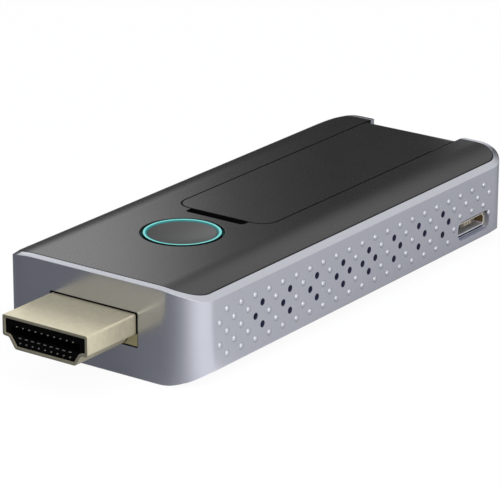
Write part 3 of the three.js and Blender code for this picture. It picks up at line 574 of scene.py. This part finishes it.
def makeHousing():
    rail = bodyRail()
    edge, rim, deep = body["edge"], body["rim"], -body["coverDepth"]
    crest, (rearStep, rearCrest) = body["rimRise"], body["rearRises"]
    profile = [(0, -edge, rearStep - edge), (edge * roundShare, -edge * roundShare, rearStep - edge * roundShare),
               (edge, 0, rearStep), (rim - edge, crest, rearCrest), (rim, crest - edge, rearCrest - edge),
               (rim, deep, deep), (body["wall"], deep, deep)]
    shape = Shape()
    rings = []
    for distance, rise, rearRise in profile:  # the rim slopes, less so at the rear
        points = []
        for (x, y), (_, _, turn) in zip(inset(rail, distance), rail):
            share = max(math.sin(turn), 0)
            points.append((x, y, body["height"] - crownDrop(x) + rise + (rearRise - rise) * share))
        rings.append(shape.ring(points))
    for distance, rise, _ in profile[::-1]:  # underneath it is level where it lies on the floor
        points = []
        for x, y in inset(rail, distance):
            drop = crownDrop(x)
            points.append((x, y, drop - min(rise, rise * drop / body["fadeHeight"], drop)))
        rings.append(shape.ring(points))
    shape.tube(rings)
    housing = outward(shape.object("silverHousing"))

    vents = Shape()
    for side in (-1, 1):
        for place in ventPlaces:
            loop = circle(place, body["ventRadius"], 20)
            ends = [vents.ring([(side * x, y, z) for y, z in loop]) for x in body["sideCut"]]
            vents.band(*ends)
            vents.face(ends[0])
            vents.face(ends[1])
    half, (front, back) = body["notchHalf"], body["notchCut"]
    cut(housing, [rotated(prism(roundedBox(*body["plugOpening"]), *body["plugCut"]), alongY),
                  block((-half, front), (half, back), body["notchLevels"]),
                  rotated(prism(roundedBox(*body["inlet"]), *body["sideCut"]), alongX), vents.object("ventCutters")])
    polish(housing, 32)
    margin = body["margin"]
    inner, outer = body["half"] - body["wall"] - 0.1, body["half"] - 0.01  # either face of the side wall

    # The vents' walls get painted shade
    def insideVent(at, normal):
        nearest = min(math.hypot(at.y - y, at.z - z) for y, z in ventPlaces)
        return inner < abs(at.x) < outer and nearest < body["ventRadius"] + margin

    # The inlet opening's walls get painted light in grey, and its floor a painted blue reflection
    def insideInlet(at, normal):
        width, height, _, (y, z) = body["inlet"]
        return inner < at.x < outer and abs(at.y - y) < width / 2 + margin and abs(at.z - z) < height / 2 + margin

    dress(housing, silver, "base", "frame", "housing",
          others=[(paintedVentShade, insideVent), (paintedPocketGrey, insideInlet),
                  (pocketReflectionBlue, lambda at, normal: insideInlet(at, normal) and normal.z > 0.7)])


# A node group that sets one small form on each point of a mesh, turned to the point's own direction. The sizes name
# its inputs for the form's three axes
def repeaterGroup(name, kind, unitInputs, sizes):
    group = bpy.data.node_groups.new(name, "GeometryNodeTree")
    face = group.interface
    face.new_socket("Geometry", in_out="INPUT", socket_type="NodeSocketGeometry")
    for key in dict.fromkeys(sizes):
        face.new_socket(key, in_out="INPUT", socket_type="NodeSocketFloat")
    face.new_socket("finish", in_out="INPUT", socket_type="NodeSocketMaterial")
    face.new_socket("Geometry", in_out="OUTPUT", socket_type="NodeSocketGeometry")
    start = node(group, "NodeGroupInput").outputs
    unit = node(group, kind, unitInputs)
    size = node(group, "ShaderNodeCombineXYZ", {axis: start[key] for axis, key in enumerate(sizes)})
    way = node(group, "GeometryNodeInputNamedAttribute", {"Name": "way"}, data_type="FLOAT_VECTOR")
    turn = node(group, "FunctionNodeAlignRotationToVector", {"Vector": way.outputs["Attribute"]}, axis="Z")
    spots = node(group, "GeometryNodeInstanceOnPoints", {"Points": start["Geometry"], "Scale": size.outputs[0],
                                                         "Instance": unit.outputs["Mesh"],
                                                         "Rotation": turn.outputs[0]})
    real = node(group, "GeometryNodeRealizeInstances", {0: spots.outputs[0]})
    paint = node(group, "GeometryNodeSetMaterial", {"Geometry": real.outputs[0], "Material": start["finish"]})
    node(group, "NodeGroupOutput", {0: paint.outputs[0]})
    return group


def repeat(name, group, places, ways, sizes, material):
    mesh = bpy.data.meshes.new(name)
    mesh.from_pydata([Vector(place) * mm for place in places], [], [])
    attribute = mesh.attributes.new("way", "FLOAT_VECTOR", "POINT")
    for point, way in zip(attribute.data, ways):
        point.vector = way
    made = bpy.data.objects.new(name, mesh)
    scene.collection.objects.link(made)
    modifier = made.modifiers.new(name, "NODES")
    modifier.node_group = group
    values = {"finish": material, **{key: size * mm for key, size in sizes.items()}}
    for item in group.interface.items_tree:
        if item.item_type == "SOCKET" and item.in_out == "INPUT" and item.name in values:
            modifier[item.identifier] = values[item.name]
    return bake(made)


domes = repeaterGroup("studRepeater", "GeometryNodeMeshUVSphere", {"Segments": 14, "Rings": 8, "Radius": 1},
                      ("radius", "radius", "height"))
bars = repeaterGroup("contactRepeater", "GeometryNodeMeshCube", {}, ("width", "length", "height"))


def makeStuds():
    width, height, _, (inletY, inletZ) = body["inlet"]
    shiftY, shiftZ = pattern["studShift"]
    places, ways = [], []
    for side in (-1, 1):
        for y, z in studPlaces:
            nearInlet = abs(y - inletY) < width / 2 and abs(z - inletZ) < height / 2 + pattern["inletMargin"]
            if side < 0 or not nearInlet:
                places.append((side * pattern["studAt"], y + shiftY, z + shiftZ))
                ways.append((side, 0, 0))
    sizes = {"radius": pattern["studRadius"], "height": pattern["studHeight"]}
    studs = repeat("sideStuds", domes, places, ways, sizes, studSilver)
    studs.data.shade_smooth()
    dress(studs, studSilver, "base", "frame")


makeHousing()
makeStuds()
print("frame ready")

cover = {"inset": 1.03, "rise": 0.2, "thickness": 1.2, "edge": 0.04, "bayHalf": 7.87, "bayFront": -5.97,
         "bayRadius": 2.62, "bayStations": (42.47, 36, 28, 20, 12, 4), "bayFloor": 10.1, "notchHalf": 4.85,
         "notchLength": 1.4, "notchRadius": 0.6, "button": (0, -14.35), "buttonHole": 5.70, "holeDepth": 2.4,
         "holeEdge": (0.08, 0.2), "softWay": (0.589, -0.808), "screwX": 11.2, "screwY": (-22.3, 25.0),
         "screwHole": 1.55, "screwDepth": 1.6}
panelGrid = {"crowned": (10.2, 10.8, 11.4, 12.0, 12.6, 13.2, 13.8, 14.2), "flat": (-8.9, -6, -3, 0, 3, 6, 8.9),
             "firstRow": -31, "rowPitch": 2.9, "rows": 26, "clear": 0.5}
hinge = {"y": 40.3, "z": 10.0, "radius": 3.2, "wellRadius": 3.5}
tray = {"front": 36.5, "rear": 41.7, "top": 12.2, "wellRise": 0.1, "wellTurns": (178.4, 270)}


# The bay's edge from its rear right corner round the front, with the finger notch, to its rear left corner
def bayEdge():
    half, front, radius = cover["bayHalf"], cover["bayFront"], cover["bayRadius"]
    notchHalf, notchFront, small = cover["notchHalf"], front - cover["notchLength"], cover["notchRadius"]
    right = [(half, y) for y in cover["bayStations"]]
    right += arc((half - radius, front + radius), radius, 0, -90, 10) + [(notchHalf, front)]
    right += arc((notchHalf - small, notchFront + small), small, 0, -90, 6)
    return right + [(-x, y) for x, y in reversed(right)]


def topOutline():
    rail = inset(bodyRail(14), cover["inset"])
    rearLine = max(y for x, y in rail)
    atRear = rearLine - 0.01
    keep = [(x, y) for x, y in rail if abs(x) >= cover["bayHalf"] + 0.3 or y <= atRear]
    first = next(i for i, (x, y) in enumerate(keep) if x < 0 and y > atRear)
    return keep[first:] + keep[:first] + [(x, min(y, rearLine)) for x, y in bayEdge()]


def inside(point, loop):
    x, y = point
    hit = False
    for i in range(len(loop)):
        x1, y1 = loop[i - 1]
        x2, y2 = loop[i]
        if (y1 > y) != (y2 > y) and x < (x2 - x1) * (y - y1) / (y2 - y1) + x1:
            hit = not hit
    return hit


def clearance(point, loop):
    best = 1e9
    here = Vector(point)
    for i in range(len(loop)):
        a, b = Vector(loop[i - 1]), Vector(loop[i])
        along = b - a
        share = max(0, min(1, (here - a).dot(along) / max(along.length_squared, 1e-12)))
        best = min(best, (here - a - along * share).length)
    return best


# A thin panel whose outer face follows the body's crown, with soft outer edges and crisp openings. The first loop is
# its outline and the others are holes, and softness and depths give each loop point its rounding and wall
def makePanel(name, loops, base, sign, softness, depths):
    shape = Shape()
    finals = []
    for number, loop in enumerate(loops):
        outs, unit = sides(loop), offset(loop, 1)
        edges = [softness(number, x, y) for x, y in loop]
        low = shape.ring([(x, y, base + sign * (-crownDrop(x) - depths(number, x, y))) for x, y in loop])
        rings, ringNormals = [], []
        for turn in [math.radians(step) for step in (0, 30, 60, 90)]:
            moved = []
            for (x, y), (ux, uy), edge in zip(loop, unit, edges):
                shift = edge * (1 - math.cos(turn))
                moved.append((x + (ux - x) * shift, y + (uy - y) * shift))
            rings.append(shape.ring([(x, y, base + sign * (-crownDrop(x) - edge * (1 - math.sin(turn))))
                                     for (x, y), edge in zip(moved, edges)]))
            ringNormals.append([(out * math.cos(turn) + crownNormal(x, sign) * math.sin(turn)).normalized()
                                for (x, y), out in zip(moved, outs)])
        shape.band(low, rings[0], True, outs, outs)
        for i in range(len(rings) - 1):
            shape.band(rings[i], rings[i + 1], True, ringNormals[i], ringNormals[i + 1])
        finals.append((moved, rings[-1]))
    places, borders, owner = [], [], []
    for loop, ring in finals:
        first = len(places)
        places += [Vector(point) for point in loop]
        owner += ring
        borders += [(first + i, first + (i + 1) % len(loop)) for i in range(len(loop))]

    def onPanel(spot):
        return inside(spot, finals[0][0]) and not any(inside(spot, loop) for loop, ring in finals[1:])

    for x in [side * x for x in panelGrid["crowned"] for side in (-1, 1)] + list(panelGrid["flat"]):
        for step in range(panelGrid["rows"]):
            spot = (x, panelGrid["firstRow"] + step * panelGrid["rowPitch"])
            if onPanel(spot) and all(clearance(spot, loop) > panelGrid["clear"] for loop, ring in finals):
                places.append(Vector(spot))
                owner.append(None)
    spots, _, triangles, origins = delaunay_2d_cdt(places, borders, [], 0, 1e-6)[:4]
    corners = []
    for (x, y), sources in zip(spots, origins):
        known = [owner[i] for i in sources if owner[i] is not None]
        corner = known[0] if known else shape.ring([(x, y, base - sign * crownDrop(x))])[0]
        corners.append((corner, crownNormal(x, sign)))
    under = {}
    for triangle in triangles:
        if not onPanel(sum((spots[i] for i in triangle), Vector((0, 0))) / 3):
            continue
        order = list(triangle)
        a, b, c = [spots[i] for i in order]
        if ((b - a).cross(c - a) > 0) != (sign > 0):
            order.reverse()
        shape.face([corners[i][0] for i in order], [corners[i][1] for i in order])
        for i in order:
            if i not in under:
                x, y = spots[i]
                under[i] = shape.ring([(x, y, base - sign * (crownDrop(x) + cover["thickness"]))])[0]
        shape.face([under[i] for i in reversed(order)])
    return shape.object(name)


def makeTopCover():
    top = body["height"] + cover["rise"]
    hole = circle(cover["button"], cover["buttonHole"], 72, -1)

    def nearBay(x, y, margin):
        return abs(x) < cover["bayHalf"] + margin and y > cover["bayFront"] - 2

    def depths(number, x, y):
        if number == 0 and nearBay(x, y, 0.01):
            return top - cover["bayFloor"] - crownDrop(x)
        return cover["thickness"] if number == 0 else cover["holeDepth"]

    def softness(number, x, y):  # the hole is softer on the side that faces the camera
        if number == 0:
            return cover["edge"]
        near = (x - cover["button"][0]) * cover["softWay"][0] + (y - cover["button"][1]) * cover["softWay"][1]
        return cover["holeEdge"][0] + cover["holeEdge"][1] * max(near / cover["buttonHole"], 0)

    panel = makePanel("topCover", [topOutline(), hole], top, 1, softness, depths)
    dress(panel, charcoal, "base", "cover", "top_cover",
          others=[(shadowBlack, lambda at, normal: normal.z < 0.95 and nearBay(at.x, at.y, 0.02))])


def makeBayTray():
    shape = Shape()
    half, rear = cover["bayHalf"], tray["rear"]
    wellFront = hinge["y"] - math.sqrt(hinge["wellRadius"] ** 2 - tray["wellRise"] ** 2)
    floorLoop = [(half, wellFront)] + [(x, y) for x, y in bayEdge() if y < tray["front"]] + [(-half, wellFront)]
    shape.face(shape.ring([(x, y, cover["bayFloor"]) for x, y in floorLoop])[::-1])
    trough = arc((hinge["y"], hinge["z"]), hinge["wellRadius"], *tray["wellTurns"], 14)
    trough.append((rear, hinge["z"] - hinge["wellRadius"]))
    left = shape.ring([(-half, y, z) for y, z in trough])
    right = shape.ring([(half, y, z) for y, z in trough])
    shape.band(right, left, False)
    for side, points in ((-half, left), (half, right)):
        ends = points + shape.ring([(side, rear, tray["top"]), (side, wellFront, tray["top"])])
        shape.face(ends if side < 0 else ends[::-1])
    bayTray = shape.object("bayTray")
    polish(bayTray, 40)
    dress(bayTray, shadowBlack, "base", "cover")


def makeBottomCover():
    loops = [inset(bodyRail(14), cover["inset"])]
    for x in (-cover["screwX"], cover["screwX"]):
        loops += [circle((x, y), cover["screwHole"], 32, -1) for y in cover["screwY"]]
    panel = makePanel("bottomCover", loops, 0, -1, lambda number, x, y: cover["edge"],
                      lambda number, x, y: cover["thickness"] if number == 0 else cover["screwDepth"])
    dress(panel, charcoal, "base", "cover", "bottom_cover")


makeTopCover()
makeBayTray()
makeBottomCover()
print("covers ready")

flap = {"half": 7.65, "front": -5.75, "corner": 2.4, "thickness": 2.8, "edge": 0.04, "wall": 0.8,
        "pocketCorner": 1.6, "pocketLow": 9, "linerSetback": 4.4, "pinRadius": 1.15, "pinReach": 3.15,
        "leadCuts": [((-4.9, 39.6), (-2.35, 41.0), (9.3, 10.7)), ((-3.75, 35.5), (-2.35, 41.0), (9.3, 12.4))]}


# Lengthwise sections of the flap, set side by side from one side edge to the other
def makeFlap():
    half, radius, edge = flap["half"], flap["corner"], flap["edge"]
    top, low = hinge["z"] + hinge["radius"], hinge["z"] + hinge["radius"] - flap["thickness"]
    axle = (hinge["y"], hinge["z"])
    flatEnd = half - radius
    stations = [half - edge + edge * math.sin(math.radians(step)) for step in (90, 70, 50, 30, 0)]
    rounding = [flatEnd + radius * math.sin(math.radians(step)) for step in (78, 66, 54, 42, 30, 18, 9)]
    stations += [x for x in rounding if x < half - edge - 0.02] + [flatEnd, 0]
    shape = Shape()
    rings = []
    for x in stations + [-x for x in stations[-2::-1]]:
        reach = max(abs(x) - flatEnd, 0)
        beyond = max(abs(x) - (half - edge), 0)
        shrink = edge - math.sqrt(max(edge ** 2 - beyond ** 2, 0))
        front = flap["front"] + radius - math.sqrt(max(radius ** 2 - reach ** 2, 0)) + shrink
        high, under = top - shrink, low + shrink

        def frontEdge(steps, level, sign):
            return [(front + edge * (1 - math.cos(math.radians(step))),
                     level - sign * edge * (1 - math.sin(math.radians(step)))) for step in steps]

        section = frontEdge((0, 22, 45, 68, 90), high, 1) + [(y, high) for y in (5, 15, 25, 35)]
        barrel = hinge["radius"] - shrink
        meet = math.degrees(math.asin((under - hinge["z"]) / barrel))  # where the barrel meets the underside
        section += arc(axle, barrel, 90, meet - 180, 30)
        section += [(y, under) for y in (35, 25, 15, 5)] + frontEdge((90, 45, 0), under, -1)
        rings.append(shape.ring([(x, y, z) for y, z in section]))
    shape.bar(rings)
    piece = outward(shape.object("antennaFlap"))

    wall, corner = flap["wall"], flap["pocketCorner"]
    pocket = [(half - wall, hinge["y"] - flap["linerSetback"])]
    pocket += arc((half - wall - corner, flap["front"] + wall + corner), corner, 0, -90, 6)
    pocket += [(-x, y) for x, y in reversed(pocket)]
    cutters = [prism(pocket[::-1], flap["pocketLow"], top - wall)]
    for side in (-1, 1):
        ends = sorted((side * (half - flap["pinReach"]), side * (half + 1)))
        cutters.append(rotated(prism(circle(axle, flap["pinRadius"], 28), *ends), alongX))
    cutters += [block(*leadCut) for leadCut in flap["leadCuts"]]
    cut(piece, cutters)
    polish(piece, 32)
    dress(piece, flapSkin, "antenna", "flap", "antenna_flap",
          others=[(shadowBlack, lambda at, normal: at.y < 37 and abs(normal.z) < 0.95)])


makeFlap()
print("flap ready")

# The crest of the ring is given as radii with their depths below the top
button = {"centre": (0, -14.35), "top": 13.3, "foot": 10.9, "bore": 4.3, "flange": (6.05, 11.5), "seat": (4.67, 12.2),
          "crest": [(5.31, 0.34), (5.295, 0.2), (5.27, 0.12), (5.22, 0.085), (5.14, 0.075), (5.06, 0.085),
                    (5.0, 0.105), (4.95, 0.13), (4.72, 0.205), (4.69, 0.25), (4.68, 0.4)],
          "innerSlope": 4.97, "outerWall": 5.22, "stem": 1.5, "cap": 4.65, "capEdge": 0.05, "capDrop": 0.23,
          "dish": 0.5, "dishShares": (0.96, 0.9, 0.8, 0.7, 0.6, 0.5, 0.4, 0.3, 0.2, 0.1, 0)}


def makeButton():
    top, foot, bore, seat = button["top"], button["foot"], button["bore"], button["seat"][1]
    profile = [(bore, foot), (button["flange"][0], foot), button["flange"],
               (button["crest"][0][0], button["flange"][1])]
    profile += [(radius, top - depth) for radius, depth in button["crest"]]
    profile += [button["seat"], (bore, seat), (bore, foot)]
    ring = lathe("lightRing", profile, button["centre"])
    polish(ring, 40)

    def fromCentre(at):
        return math.hypot(at.x - button["centre"][0], at.y - button["centre"][1])

    # The ring's inner slope and outer wall get darker copies of it as painted shade
    dress(ring, turquoise, "button", "light_ring", "button_ring",
          others=[(ringWallShade, lambda at, normal: fromCentre(at) < button["innerSlope"]),
                  (ringShade, lambda at, normal: fromCentre(at) > button["outerWall"] and normal.z < 0.7)])
    rim, dish, cap, stem = top - button["capDrop"], button["dish"], button["cap"], button["stem"]
    flat = cap - button["capEdge"]
    profile = [(0, foot), (stem, foot), (stem, seat), (cap, seat), (cap, rim - button["capEdge"]), (flat, rim)]
    profile += [(flat * share, rim - dish * (1 - share ** 2)) for share in button["dishShares"]]
    capPiece = lathe("buttonCap", profile, button["centre"])
    polish(capPiece, 40)
    dress(capPiece, capGrey, "button", "button_cap", "button_cap")


makeButton()
print("button ready")

# The outline's points are seen from the front, and turns are -1 at its inner corners. Each contact row has a count,
# a height and the size of one contact, and the middle row is a painted glint on the lower contacts inside the slot
plug = {"tip": -43.5, "root": -27.5, "middle": 6.65, "wall": 0.45, "bevel": 0.09,
        "points": [(6.95, -0.645), (6.95, 2.225), (-6.95, 2.225), (-6.95, -0.645), (-5.9, -0.72), (-4.93, -2.225),
                   (4.93, -2.225), (5.9, -0.72)],
        "radii": [0.35, 0.28, 0.28, 0.35, 0.45, 0.5, 0.5, 0.45], "turns": [1, 1, 1, 1, -1, 1, 1, -1],
        "smallest": 0.06, "fit": 0.03, "setBack": 0.15, "slotDepth": 7.5, "slot": (11.2, 1.2, 0.15, (0, 0.28)),
        "pitch": 1.02, "contactSetBack": 0.16, "rows": [(10, 0.93, (0.17, 0.13, 0.3)), (9, -0.52, (0.40, 0.08, 0.3)),
                                                        (9, -1.22, (0.17, 0.13, 0.3))]}


def roundedLoop(points, radii, steps=5):
    loop = []
    for i, (point, radius) in enumerate(zip(points, radii)):
        before, here, after = Vector(points[i - 1]), Vector(point), Vector(points[(i + 1) % len(points)])
        one, two = (before - here).normalized(), (after - here).normalized()
        angle = one.angle(two)
        reach = radius / math.tan(angle / 2)
        centre = here + (one + two).normalized() * (radius / math.sin(angle / 2))
        first, last = here + one * reach - centre, here + two * reach - centre
        for step in range(steps + 1):
            loop.append(tuple(centre + first.lerp(last, step / steps).normalized() * radius))
    return loop


def plugLoop(shrink):
    radii = [max(radius - shrink * turn, plug["smallest"]) for radius, turn in zip(plug["radii"], plug["turns"])]
    return roundedLoop(offset(plug["points"], shrink), radii)


# Rings across the plug's length, each a loop with its place
def plugRings(shape, stages):
    return [shape.ring([(x, y, z + plug["middle"]) for x, z in loop]) for loop, y in stages]


def makePlugShell():
    shape = Shape()
    wall, bevel, tip, root = plug["wall"], plug["bevel"], plug["tip"], plug["root"]
    small, back = bevel * roundShare, tip + bevel
    stages = [(0, root), (0, body["front"] - 0.06), (0, back), (small, tip + small), (bevel, tip),
              (wall - bevel, tip), (wall - small, tip + small), (wall, back), (wall, root)]
    shape.tube(plugRings(shape, [(plugLoop(shrink), y) for shrink, y in stages]))
    shell = outward(shape.object("hdmiShell"))
    polish(shell, 28)
    # The shell's front faces get painted shade, and its part inside the body painted shadow
    dress(shell, gold, "base", "plug_shell", "hdmi_shell",
          others=[(goldEdgeShade, lambda at, normal: normal.y < -0.5),
                  (shadowBlack, lambda at, normal: at.y > body["front"] - 0.05)])


def makePlugInside():
    shape = Shape()
    loop, slot = plugLoop(plug["wall"] + plug["fit"]), roundedBox(*plug["slot"], 1)
    front, back, rear = plug["tip"] + plug["setBack"], plug["tip"] + plug["slotDepth"], plug["root"] + 0.5
    outer, inner = plugRings(shape, [(loop, front), (loop, rear)]), plugRings(shape, [(slot, front), (slot, back)])
    shape.band(outer[0], outer[1])
    shape.face(outer[1])
    shape.band(inner[1], inner[0])
    shape.face(inner[1][::-1])
    edges = [(i, (i + 1) % len(loop)) for i in range(len(loop))]
    edges += [(len(loop) + i, len(loop) + (i + 1) % len(slot)) for i in range(len(slot))]
    spots, _, triangles, origins = delaunay_2d_cdt([Vector(point) for point in loop + slot], edges, [], 0, 1e-7)[:4]
    names = [(outer[0] + inner[0])[sources[0]] for sources in origins]
    for triangle in triangles:
        middle = sum((spots[i] for i in triangle), Vector((0, 0))) / 3
        if inside(middle, loop) and not inside(middle, slot):
            shape.face([names[i] for i in triangle])
    insulator = outward(shape.object("hdmiInsulator"))
    dress(insulator, black, "base", "black_plastic", "hdmi_insulator")
    contacts = []
    for index, (count, height, size) in enumerate(plug["rows"]):
        places = [((i - (count - 1) / 2) * plug["pitch"], plug["tip"] + plug["contactSetBack"],
                   plug["middle"] + height) for i in range(count)]
        sizes = dict(zip(("width", "length", "height"), size))
        contacts.append(repeat(f"contactRow{index + 1}", bars, places, [(0, 1, 0)] * count, sizes, contactGold))
    names = [f"hdmi_contact_{number:02d}" for number in range(1, 20)]
    dress(contacts[0], contactGold, "base", "contacts", *names[0::2])
    # The middle row stands for painted glints on the lower contacts
    dress(contacts[1], contactGold, "base", "contacts")
    dress(contacts[2], contactGold, "base", "contacts", *names[1::2])


collar = {"half": 7.06, "low": -2.28, "high": -0.56, "front": -33.36, "thickness": 0.8, "plateHalf": 7.18,
          "plateLow": -2.38, "plateFront": -32.95, "plateThickness": 0.4}


def makeCollar():
    half, low, high, front = collar["half"], collar["low"], collar["high"], collar["front"]
    plateHalf, plateLow, plateFront = collar["plateHalf"], collar["plateLow"], collar["plateFront"]
    under = sorted([(x, z) for x, z in plugLoop(-plug["fit"]) if z < high], key=lambda point: -point[0])
    loop = [(half, low), (half, high)] + under + [(-half, high), (-half, low)]
    plate = [(-plateHalf, plateLow), (plateHalf, plateLow), (plateHalf, high), (-plateHalf, high)]
    shape = Shape()
    shape.bar(plugRings(shape, [(loop, front), (loop, front + collar["thickness"])]))
    shape.bar(plugRings(shape, [(plate, plateFront), (plate, plateFront + collar["plateThickness"])]))
    made = outward(shape.object("hdmiCollar"))
    dress(made, collarGold, "base", "plug_shell", "hdmi_collar",
          others=[(shadowBlack, lambda at, normal: at.y > plateFront - 0.01)])


makePlugShell()
makePlugInside()
makeCollar()
print("plug ready")

inlet = {"y": 33.5, "z": 3.98, "lip": 15.45, "root": 10.6, "wall": 0.5, "half": 3.97, "low": -1.25, "high": 1.25,
         "chamfer": 0.7, "radius": 0.5, "bevel": (0.03, 0.04), "groove": (0.10, 0.11, 0.38, 0.39), "grooveDepth": 0.16}


def inletLoop(shrink):
    half, low, high, chamfer = inlet["half"], inlet["low"], inlet["high"], inlet["chamfer"]
    points = [(half, low), (half, high - chamfer), (half - chamfer, high), (chamfer - half, high),
              (-half, high - chamfer), (-half, low)]
    return roundedLoop(offset(points, shrink), [max(inlet["radius"] - shrink / 2, 0.08)] * 6, 4)


def makeInlet():
    shape = Shape()
    wall, lip, root, (across, back) = inlet["wall"], inlet["lip"], inlet["root"], inlet["bevel"]
    floorAt = lip - inlet["grooveDepth"]
    stages = [(0, root), (0, lip - back), (across, lip), *zip(inlet["groove"], (lip, floorAt, floorAt, lip)),
              (wall - across, lip), (wall, lip - back), (wall, root)]
    shape.tube([shape.ring([(x, y + inlet["y"], z + inlet["z"]) for y, z in inletLoop(shrink)])
                for shrink, x in stages])
    shell = outward(shape.object("inletShell"))
    polish(shell, 28)

    def groove(at, normal):
        fromSide = inlet["half"] - abs(at.y - inlet["y"])
        fromLow, fromHigh = at.z - inlet["z"] - inlet["low"], inlet["high"] - (at.z - inlet["z"])
        within = fromSide > 0.095 and fromLow > 0.095 and min(fromSide, fromLow, fromHigh) < 0.4
        return lip - 0.17 < at.x < lip - 0.01 and within

    def inward(at, normal):
        towards = Vector((0, inlet["y"] - at.y, inlet["z"] - at.z))
        return at.x < lip - 0.07 and towards.dot(normal) > 0 and not groove(at, normal)

    def alongBottom(at, normal):
        return at.z - inlet["z"] < inlet["low"] + wall and at.y - inlet["y"] < inlet["half"] - 0.6

    # The shell's faces are coloured by where light falls: painted shade inside and in the groove, a painted highlight
    # on the lip, and painted reflections on the floor and bottom edge
    dress(shell, inletLipHighlight, "base", "inlet_shell", "usb_shell",
          others=[(inletShadeBrown, lambda at, normal: inward(at, normal) and normal.z < 0.5),
                  (inletFloorReflection, lambda at, normal: inward(at, normal) and normal.z >= 0.5),
                  (inletEdgeReflection, lambda at, normal: at.x > lip - 0.05 and alongBottom(at, normal)),
                  (paintedPocketGrey, groove),
                  (grooveShadowNavy, lambda at, normal: groove(at, normal) and alongBottom(at, normal))])


makeInlet()
print("inlet ready")

# The other nodes keep their own meshes and get a finish here
finishes = {
    "usb_tongue": tongueFinish, "flap_liner": black, "switch_plunger": black,
    "switch_base": steel, "hinge_pin_left": steel, "hinge_pin_right": steel, "main_board": boardGreen,
    "antenna_board": boardGreen, "video_chip": chipBlack, "radio_chip": chipBlack, "memory_chip": chipBlack,
    "inductor": chipBlack, "shield_can": steel, "heat_spreader": steel, "crystal": steel,
    "antenna_connector": steel, "thermal_pad": padGrey, "ring_led_1": ledWhite, "ring_led_2": ledWhite,
    "antenna_lead": leadBlack, "antenna_lead_flap": leadBlack,
}
finishes.update({f"cover_screw_{number}": steel for number in range(1, 5)})
finishes.update({f"usb_contact_{number}": contactGold for number in range(1, 6)})
for nodeName, finish in finishes.items():
    mesh = cadNodes[nodeName].data
    mesh.materials.clear()
    mesh.materials.append(finish)
print("carried-over pieces ready")

bpy.context.view_layer.update()
